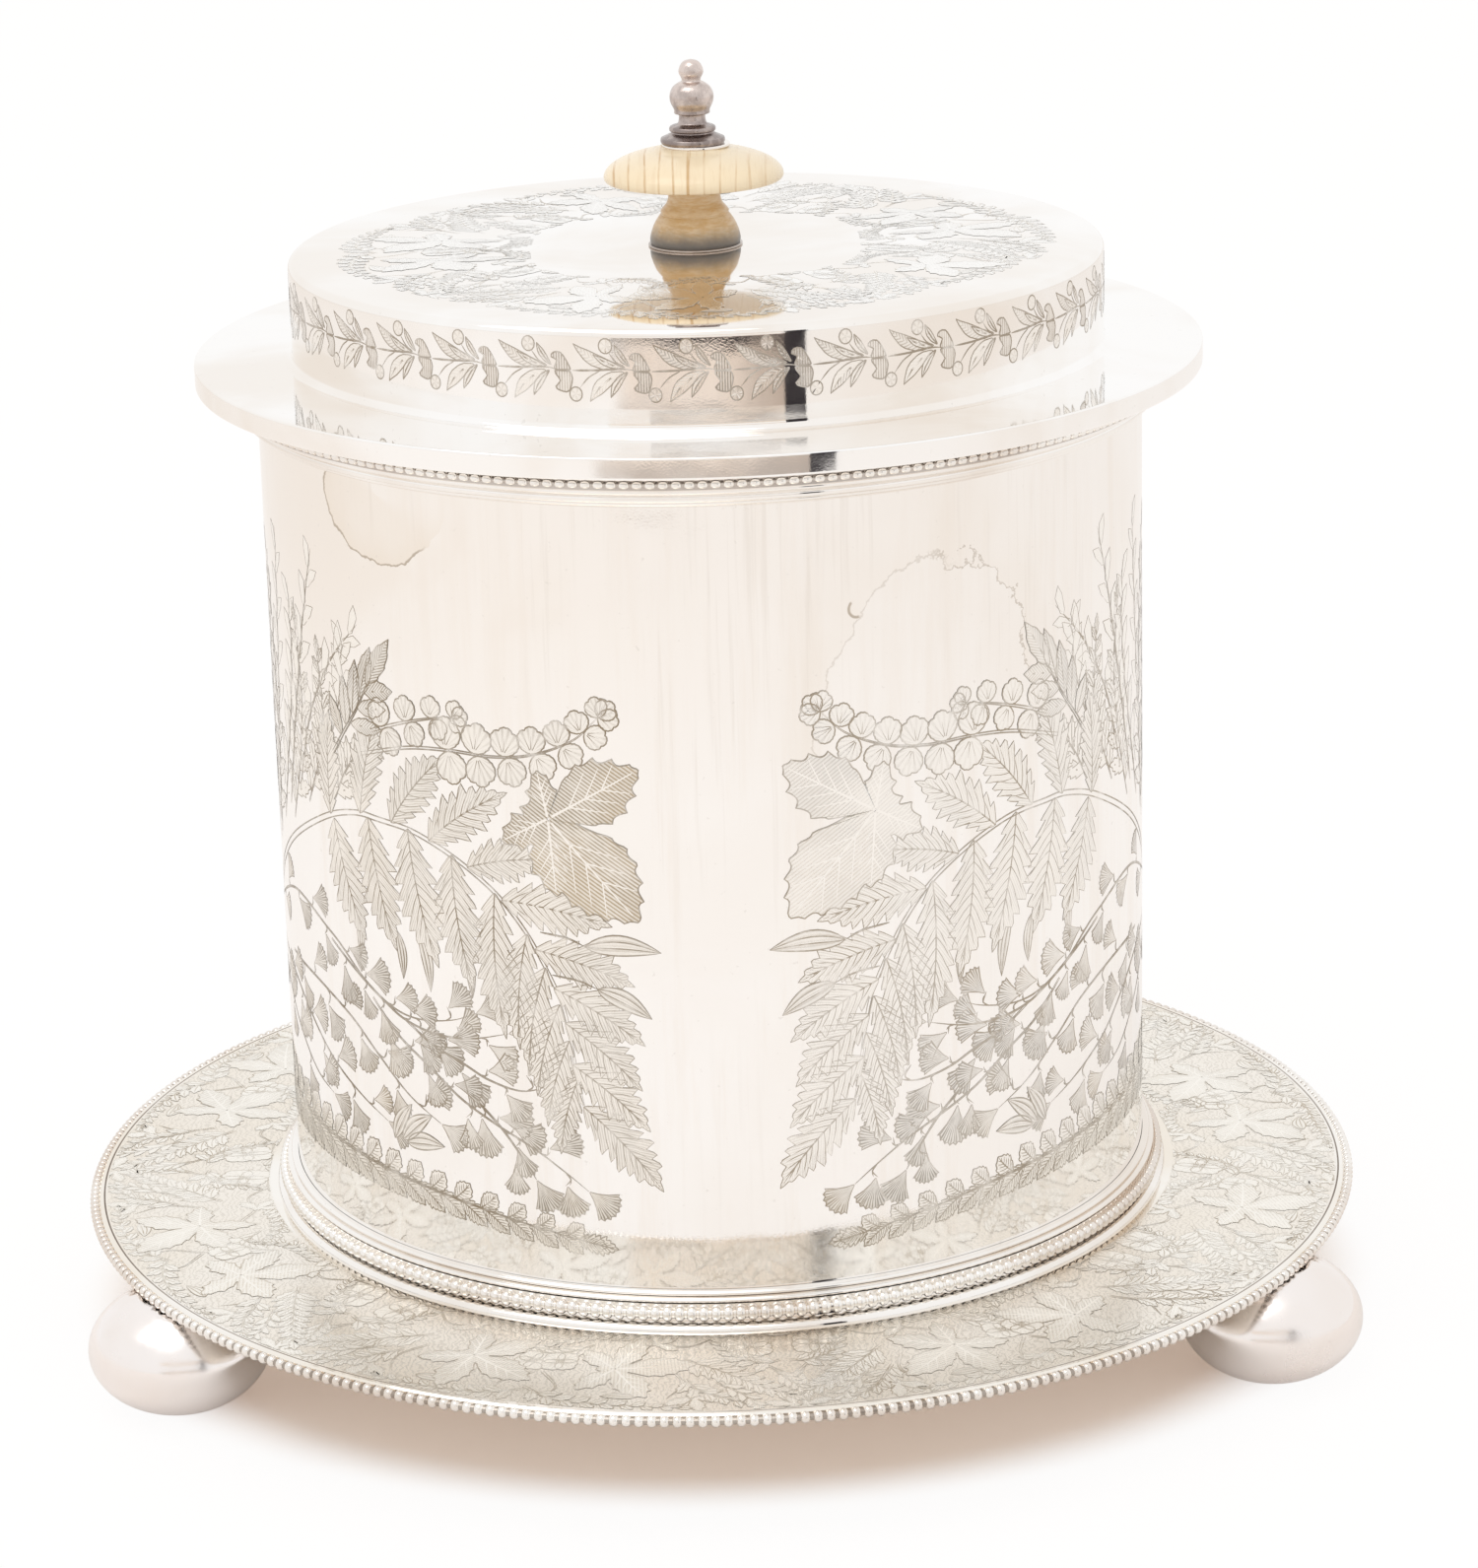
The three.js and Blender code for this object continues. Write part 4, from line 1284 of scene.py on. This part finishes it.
    def maidenhair(self, points, count, size, rng, stalk=2.2):
        line = self.stem(points, 0.3)
        for k in range(count):
            side = 1 if k % 2 else -1
            share = 0.1 + 0.9 * k / count
            point, ahead = along(line, share)
            turn = ahead * np.exp(1j * side * rng.uniform(0.75, 1.15))
            away = stalk * rng.uniform(0.7, 1.4)
            apex = point + turn * away
            lean = turn * np.exp(-1j * side * rng.uniform(0.1, 0.5))
            for edge in (0.42, -0.42):
                bent = point + ahead * away * 0.45 + turn * away * 0.25
                self.groove(spline([point, bent, apex + 1j * lean * edge], 0.6))
            self.nextLayer()
            self.fan(apex, lean, size * rng.uniform(0.85, 1.1) * (1 - 0.15 * share), rng.uniform(1.0, 1.35))
        point, ahead = along(line, 1)
        self.nextLayer()
        self.fan(point, ahead, size * 0.9, 1.25)

    # one lobe of a bell flower, hatched along its length
    def bell(self, points, tone=0.8):
        rim = spline(points + points[:1], 0.5)
        middle = (rim[0] + rim[-2]) / 2 * 0.4 + rim.mean() * 0.6
        rows = middle + np.array([0.02, 1.0])[:, None] * (rim - middle)
        self.sheet(rows, rows.real / 0.42, tone * np.array([0.7, 1.0])[:, None])
        self.groove(rim, ends=(0.9, 0.9))

    # a round berry or flower eye
    def berry(self, middle, radius, tone=0.25):
        rim = middle + radius * np.exp(1j * np.linspace(0, 2 * math.pi, 15))
        rows = middle + np.array([0.05, 1.0])[:, None] * (rim - middle)
        self.sheet(rows, np.linspace(0, 5, 15), tone)
        self.groove(rim, 0.2, (0.9, 0.9))


# Barrel engraving: a bouquet on each side, alike to left and right of its middle

bouquet = {
    "seed": 7,
    # points are (mm round the barrel from the bouquet's middle, mm above the tray)
    "mainStem": [(3, 44), (9, 56), (21.6, 66.5), (39, 75.6), (49, 78.9), (55.9, 79.2), (63.2, 78.8),
                 (69.8, 76.8), (75.7, 73.8), (80.7, 70), (84.8, 65.1), (87.5, 60.5), (90.3, 54.6),
                 (91.6, 49.6), (92.8, 41), (94, 35)],
    # each leaflet: where its base is, where its tip is, its width
    "outerLeaflets": [(42, 77, 43, 95, 5.6), (51, 79.2, 56.8, 97.3, 6), (58.8, 79.3, 71, 92.5, 6.2),
                      (67, 77.8, 82.5, 88, 6.2), (74.5, 74.6, 88.5, 77.5, 5.6), (80.7, 70, 99.4, 67.1, 6.2),
                      (86.3, 62.4, 102.7, 57.2, 5.8), (89.3, 56.2, 104.1, 47.3, 5.6),
                      (91, 50.5, 103.4, 39.7, 5.4), (92, 43.5, 104.5, 32.8, 5.4),
                      (93.6, 36.5, 106.3, 22.6, 5.8)],
    "innerLeaflets": [(43, 76.5, 51, 57.5, 7.6), (53, 79, 58.8, 57.5, 7.4), (62.5, 79, 68, 56.5, 7.2),
                      (71.5, 76.2, 74.8, 54, 6.6), (79.5, 71, 80.6, 46.5, 5.8), (85, 64.8, 83, 45, 4.8),
                      (88, 59.5, 84.5, 41.5, 4.5), (90.2, 53.5, 85.8, 37.5, 4.3), (91.6, 47.5, 87.4, 32.5, 4),
                      (92.8, 41, 89.5, 28, 3.8)],
    "ivyCentre": (89.4, 84.4),
    "ivyTips": [(104.4, 93.2), (87.8, 92.2), (81.2, 79.9), (103.8, 68), (90.4, 71.6)],
    "buds": [(94.8, 63.6, 107.1, 63, 3.4), (96.6, 56.6, 105.3, 51.9, 3)],
    "sprigOne": [(52, 89.5), (63, 92.6), (72, 93.6), (80, 93.6), (87, 94.6), (94, 97.5), (98.4, 101.6)],
    "sprigTwo": [(55, 94), (62, 96.5), (68, 98.2), (73, 99.2)],
    # a hatched leaf of long lobes: its stem, then base, tip and width of each lobe
    "lobedStem": [(44, 88), (47.7, 92.5), (51.5, 97), (54.5, 101.6)],
    "lobes": [(46.8, 91.6, 43.7, 97.7, 2.8), (48.3, 93.5, 47.9, 101.7, 3.1), (50.2, 95.9, 51.5, 105.1, 3.3),
              (52.4, 99, 55.5, 107.9, 3.4), (54.3, 101.4, 60.2, 110, 3.6), (53.6, 100.2, 60.5, 101.4, 3.4),
              (51.7, 97.1, 58.9, 98.1, 3.1), (49.8, 94.1, 57.7, 94.4, 2.8)],
    "leafWidth": 1.28,
    "heathers": [[(30, 78), (36, 92), (44, 103), (52.5, 111)], [(24, 74), (30, 92), (35, 108), (39.5, 121)],
                 [(14, 66), (18, 88), (21, 106), (22.5, 121)], [(9, 64), (11, 86), (11.5, 104), (10, 118)],
                 [(36, 80), (43, 90), (47, 99), (48, 108)], [(19, 70), (26, 88), (29, 101), (28.5, 113)],
                 [(5, 60), (5.5, 76), (6, 92), (4.5, 108)]],
    "upperFronds": [[(26, 72), (31, 84), (33, 96), (31, 108)], [(12, 64), (16, 80), (16, 96), (14, 110)],
                    [(34, 77), (39, 86), (41, 94), (40, 104)], [(43, 79), (47, 85), (51, 89), (56, 91)]],
    # stem of each maidenhair spray and its number of leaflets
    "maidenStems": [([(5, 52), (24, 59), (40, 56), (50, 50.5), (57, 47.5), (63, 46.8), (70, 48),
                      (75, 50)], 10),
                    ([(40, 55), (54, 48.5), (60, 46), (67, 45), (74, 45.6), (81, 47.5)], 7),
                    ([(60, 46), (66, 43), (72, 41), (77, 39), (83, 38), (88, 39.5)], 6),
                    ([(52, 48), (58, 43), (65, 39), (71, 35), (77, 32), (84.5, 28.5), (90, 25), (94, 22)], 9),
                    ([(20, 47), (34, 46), (45, 43), (53, 38), (60, 33), (67, 29.5)], 8),
                    ([(8, 46), (20, 43), (28.6, 39), (38, 33.6), (47.7, 29.5), (54.5, 27)], 8),
                    ([(74, 35.5), (79, 31), (83, 26), (85, 23)], 3),
                    ([(2, 45), (12, 40), (22, 34), (31, 29), (38, 27)], 6)],
    "pods": [(64, 62, 66, 52, 2.2), (59, 61, 60, 53, 2), (73, 61, 74.5, 52.5, 1.8), (49, 62, 49, 54, 2)],
    "bottomFern": [(-1, 21), (16, 20.4), (34, 19.6), (52, 18.6), (70, 17), (86, 14.6), (95, 13)],
    "centreFrond": [(0, 62), (0.6, 84), (0, 104), (0, 124)],
    "smallLeaves": [(58, 24.8, 65, 30.5, 3), (59, 24.6, 67.5, 25.6, 3), (56, 24.5, 60.5, 31.5, 2.6)],
}


def wrapBarrel(middle):
    angle0 = math.radians(middle)
    radius = wallRadius / mm

    def wrap(x, y, lift):
        angle = angle0 + x / radius
        r = (radius + lift) * mm
        return np.stack([r * np.cos(angle), r * np.sin(angle), y * mm + trayTop], axis=-1)
    return wrap


def complexes(points):
    return [complex(*p) for p in points]


# dark scales the leaf tones and ivyTone the ivy's; the larger values paint shade on the bouquet of the
# barrel's shaded left side
def makeHalfBouquet(cut, rng, dark, ivyTone):
    cut.useLayers(0, 26)
    for stem in bouquet["upperFronds"]:
        cut.frond(complexes(stem), 7, 8, 3.4, angle=46, tone=0.1 * dark, teeth=4, veins=False, stemWidth=0.3)
    for stem in bouquet["heathers"]:
        cut.sprig(complexes(stem), 6, 8.5, tone=0.06 * dark, edge=0.12)
    cut.useLayers(26, 42)
    for stem, count in bouquet["maidenStems"]:
        cut.maidenhair(complexes(stem), count, 6.3, rng)
    for x0, y0, x1, y1, width in bouquet["pods"]:
        cut.bud(complex(x0, y0), complex(x1, y1), width)
    cut.useLayers(54, 78)
    cut.stem(complexes(bouquet["mainStem"]), 1.3)
    for key, tone, bend in (("innerLeaflets", 0.27, -0.04), ("outerLeaflets", 0.27, 0.04)):
        for x0, y0, x1, y1, width in bouquet[key]:
            cut.nextLayer()
            cut.blade(complex(x0, y0), complex(x1, y1), width * bouquet["leafWidth"], bend=bend, teeth=9,
                      tone=tone * dark, depth=0.34, edge=0.16)
    fern = complexes(bouquet["bottomFern"])
    cut.frond(fern, 18, 7.2, 5.6, angle=62, tone=0.1, teeth=5, shrink=0.5, start=0.02, sides=(1,),
              depth=0.13)
    cut.frond(fern, 21, 10.2, 5.6, angle=35, tone=0.15 * dark, teeth=7, shrink=0.5, start=0.01, sides=(-1,),
              stemWidth=0, depth=0.2)
    cut.useLayers(90, 112)
    cut.stem(complexes(bouquet["lobedStem"]), 0.6)
    for x0, y0, x1, y1, width in bouquet["lobes"]:
        cut.nextLayer()
        cut.blade(complex(x0, y0), complex(x1, y1), width, teeth=4, depth=0.1, tone=0.5 * dark,
                  veins=False)
    cut.petalSprig(complexes(bouquet["sprigTwo"]), 3, 4.4, tone=0.18 * dark, start=0.15)
    cut.petalSprig(complexes(bouquet["sprigOne"]), 6, 5, tone=0.18 * dark, start=0.4)
    for x0, y0, x1, y1, width in bouquet["buds"]:
        base, tip = complex(x0, y0), complex(x1, y1)
        cut.nextLayer()
        cut.groove(spline([base - 7.5 + 1.8j, base - 3 + 1.2j, base], 0.7), 0.3)
        cut.bud(base, tip, width)
    cut.buds(bouquet["smallLeaves"])
    cut.useLayers(124, 140)
    cut.brown = 0.4 * ivyTone
    cut.vineLeaf(complex(*bouquet["ivyCentre"]), complexes(bouquet["ivyTips"]), tone=ivyTone, plump=0.3,
                 tooth=3, rings=10)
    cut.brown = 0


def makeBarrelEngraving():
    shadedSideLine = lineFinish("engraved_line_painted_shade", *engraving["shadedSideLine"])
    shadedSideLeaf = leafFinish("engraved_leaf_painted_shade", *engraving["shadedSideLeaf"])
    barrelLine = lineFinish("engraved_line", *engraving["line"])
    barrelLeaf = leafFinish("engraved_leaf", *engraving["leaf"])
    # the left bouquet is cut darker than the right, in lines, leaves and ivy: painted shade on the barrel's
    # left side
    for name, middle, dark, ivyTone, line, leaf in (
        ("barrel_right", 0, 0.9, 0.3, barrelLine, barrelLeaf),
        ("barrel_left", 180, 1.4, 1.2, shadedSideLine, shadedSideLeaf),
    ):
        cut = Engraving(name, wrapBarrel(middle), "box", line, leaf)
        cut.useLayers(54, 78)
        cut.frond(complexes(bouquet["centreFrond"]), 11, 13, 5.4, angle=48, tone=0.3, shrink=0.3)
        for side in (1, -1):
            rng = random.Random(bouquet["seed"])
            cut.put = lambda z, side=side: side * z.real + 1j * z.imag
            makeHalfBouquet(cut, rng, dark, ivyTone)
        cut.finish()


# Band round the lid: a running stem of leaves, berries and bell flowers

lidBand = {
    "repeats": 34,
    "shift": -2.3,                # mm round the lid
    "middle": 9.7,                # mm, the running stem over the brim
    "stretch": 1.12,
    # mm from the middle of a flower, x to the right
    "stem": [(1.3, 0), (5, 0.1), (9, 0.35), (11.6, 0.05)],
    # base, tip, width, bend, darkness
    "leaves": [(9.6, 0.6, 1.5, 3.75, 1.75, 0.1, 0.5), (9.3, 0.5, 4.6, 2.3, 0.9, 0.06, 0.2),
               (10.3, 0.7, 8.0, 3.7, 0.95, 0.06, 0.25), (9.4, -0.1, 4.0, -4.3, 1.9, -0.1, 0.12),
               (10, -0.1, 7.3, -3.7, 1.15, -0.08, 0.1)],
    # the upper and lower lobe of the bell flower
    "bell": [[(1.0, 0.1), (0.5, 1.1), (-0.6, 2.45), (-1.75, 2.4), (-2.1, 1.8), (-1.2, 1.35), (-1.55, 0.1)],
             [(0.9, -0.15), (1.25, -1.1), (0.65, -2.9), (-0.8, -2.85), (-1.5, -2.35), (-0.7, -1.5),
              (-1.55, -0.15)]],
    "stalks": [[(9.6, 0.55), (8.2, 1.3), (7.1, 2.6)], [(5.6, 0), (3.9, -0.9), (2.4, -2.4)]],
    "berries": [(6.6, 3.5, 1.05), (1.75, -3.3, 1.0)],
}


def makeLidBand():
    radius = crownRadius / mm
    pitch = 2 * math.pi * radius / lidBand["repeats"]

    def wrap(x, y, lift):
        r = (radius + lift) * mm
        return np.stack([r * np.cos(x / radius), r * np.sin(x / radius), y * mm + brimTop], axis=-1)

    line = lineFinish("band_line", *engraving["bandLine"])
    leaf = leafFinish("band_leaf", *engraving["bandLeaf"], gloss=(0.03, 0.2))
    cut = Engraving("lid_band", wrap, "lid", line, leaf)
    for k in range(lidBand["repeats"]):
        start = k * pitch + lidBand["shift"] + 1j * lidBand["middle"]
        cut.put = lambda z, start=start: z.real + 1j * lidBand["stretch"] * z.imag + start
        cut.useLayers(0, 20)
        for x0, y0, x1, y1, width, bend, tone in lidBand["leaves"]:
            cut.nextLayer()
            cut.blade(complex(x0, y0), complex(x1, y1), width, bend, teeth=3, depth=0, tone=tone, veins=False,
                      full=0.5, edge=0.17, rib=tone < 0.4)
        cut.nextLayer()
        cut.groove(spline(complexes(lidBand["stem"]), 0.8), 0.3)
        for stalk in lidBand["stalks"]:
            cut.groove(spline(complexes(stalk), 0.5), 0.2)
        for lobe in lidBand["bell"]:
            cut.nextLayer()
            cut.bell(complexes(lobe))
        for x, y, size in lidBand["berries"]:
            cut.nextLayer()
            cut.berry(complex(x, y), size)
    cut.finish()


# Foliage rings on the tray and on the top of the lid

foliage = {
    "seed": 11,
    # one repeat, in mm: x along the ring, y out from the ring's middle; leaf count, length, width
    "fronds": [([(2.5, -4.5), (8, -0.5), (13, 4.2), (18.6, 8.6)], 9, 5.6, 2.5),
               ([(-20, 7.4), (-14, 10.3), (-6, 11.2), (3, 11.4)], 8, 3.8, 2.1),
               ([(-1, -11.6), (-8, -12), (-15, -10.6), (-20, -7)], 8, 3.9, 2.2),
               ([(19, -3), (15, -2.4), (11.5, -5), (8, -10.4)], 6, 4.2, 2.2),
               ([(3, 2), (6, 6), (8, 8.6), (12, 11.4)], 5, 4.2, 2.2)],
    "tendrils": [[(-8, -6), (-3, -9), (3, -8.6), (8, -11.6), (14, -12)], [(1, -1), (3, 4), (1, 9)],
                 [(19, 2), (15, -4), (18, -9.6)], [(-19, 2), (-15.4, 6.4), (-16, 10)]],
    # lobes of the vine leaf: turn in degrees, length
    "lobes": [(0, 13), (66, 11), (-66, 11), (130, 8.6), (-130, 8.6)],
    "turns": [35, 205, 110, -50, 160, -10],
    "flowers": [(13.6, -8.4, 4.3), (-17.4, -1.6, 3.2)],
    # small leaf of three lobes: middle, facing, length
    "clovers": [(5, 8.4, 80, 4.8), (18.6, 12, 200, 4.2), (-2.6, -9.4, -40, 4.4)],
    "sprays": [[(17, 0), (19, 4), (20.4, 7)], [(-13.5, -8), (-17, -5), (-20, -4)],
               [(8, 3.4), (12, 8), (14, 12.4)]],
    "buds": [(-3, 8.4, -8.4, 8.8, 2), (9, -12.4, 4.6, -12.6, 1.8), (20, -11.8, 16, -12.6, 1.8)],
    # size of that repeat, before it is fitted to a ring
    "long": 38.5, "halfWide": 12.4,
}

# radius and half width in mm; limit cuts the leaves off past the ring, as a share of that half width;
# pinch draws the ring in between its four bouquets
foliageRings = {
    "tray_foliage": {"body": "box", "radius": 93, "halfWide": 14, "height": trayTop, "repeats": 15,
                     "tone": 0.16, "pinch": 0, "limit": 1, "lineScale": 0.8, "line": "fineLine",
                     "leaf": "fineLeaf", "gloss": (0.14, 0.3), "finish": "engraved_tray"},
    "lid_wreath": {"body": "lid", "radius": 43.5, "halfWide": 15.5, "height": crownTop, "repeats": 9,
                   "tone": 0.11, "pinch": 0.2, "limit": 1.05, "lineScale": 0.62, "line": "faintLine",
                   "leaf": "faintLeaf", "gloss": (0.05, 0.2), "finish": "engraved_lid"},
}


def makeFoliageRing(name, ring):
    radius, half, repeats, tone = (ring[key] for key in ("radius", "halfWide", "repeats", "tone"))
    pitch = 2 * math.pi * radius / repeats
    stretch, scale = pitch / foliage["long"], half / foliage["halfWide"]
    rng = random.Random(foliage["seed"])
    line = lineFinish(ring["finish"] + "_line", *engraving[ring["line"]])
    leaf = leafFinish(ring["finish"] + "_leaf", *engraving[ring["leaf"]], gloss=ring["gloss"])

    def wrap(x, y, lift):
        angle = x / radius
        y = np.clip(y, -ring["limit"] * half, ring["limit"] * half)
        r = (radius + y * (1 - ring["pinch"] * np.sin(2 * angle) ** 2)) * mm
        return np.stack([r * np.cos(angle), r * np.sin(angle), ring["height"] + lift * mm], axis=-1)

    cut = Engraving(name + "_back", wrap, ring["body"], line, leaf, ring["lineScale"])
    for k in range(repeats):
        if k == repeats // 2:
            cut.finish()
            cut = Engraving(name + "_front", wrap, ring["body"], line, leaf, ring["lineScale"])
        flip = 1 if k % 2 else -1
        shift = k * pitch + complex(rng.uniform(-0.8, 0.8), rng.uniform(-0.3, 0.3))
        cut.put = lambda z, flip=flip, shift=shift: flip * z.real * stretch + 1j * z.imag * scale + shift
        cut.useLayers(34 * (k % 2), 34 * (k % 2) + 34)
        for points, count, size, width in foliage["fronds"]:
            wobble = [complex(x + rng.uniform(-0.7, 0.7), y + rng.uniform(-0.4, 0.4)) for x, y in points]
            cut.frond(wobble, count, size, width, angle=46, tone=tone, teeth=3, veins=False, shrink=0.5)
        for points in foliage["tendrils"]:
            cut.stem(complexes(points), 0.5)
        for points in foliage["sprays"]:
            cut.sprig(complexes(points), 4, 3.6, tone=tone * 1.3)
        for x, y, facing, size in foliage["clovers"]:
            middle = complex(x, y)
            tips = [middle + size * np.exp(1j * math.radians(facing + turn)) for turn in (-68, 0, 68)]
            cut.vineLeaf(middle, tips, tone=tone * 2, tooth=1.1, ribWidth=0.25)
        for x, y, size in foliage["flowers"]:
            for quarter in range(4):
                cut.nextLayer()
                cut.petal(complex(x, y), np.exp(1j * (0.6 + quarter * math.pi / 2)), size, tone)
            cut.nextLayer()
            cut.berry(complex(x, y), size * 0.2)
        cut.buds(foliage["buds"])
        centre = complex(-8 + rng.uniform(-0.8, 0.8), rng.uniform(-0.6, 0.6))
        facing = math.radians(foliage["turns"][k % len(foliage["turns"])] + rng.uniform(-15, 15))
        tips = [centre + size * np.exp(1j * (facing + math.radians(turn))) for turn, size in foliage["lobes"]]
        cut.useLayers(68 + 13 * (k % 2), 81 + 13 * (k % 2))
        cut.vineLeaf(centre, tips, tone=tone * 2.4, hatchAngle=facing)
    cut.finish()


makeBarrelEngraving()
makeLidBand()
for ringName, ringValues in foliageRings.items():
    makeFoliageRing(ringName, ringValues)
print("engraving ready")

scene = bpy.context.scene
scene.view_settings.view_transform = "Standard"
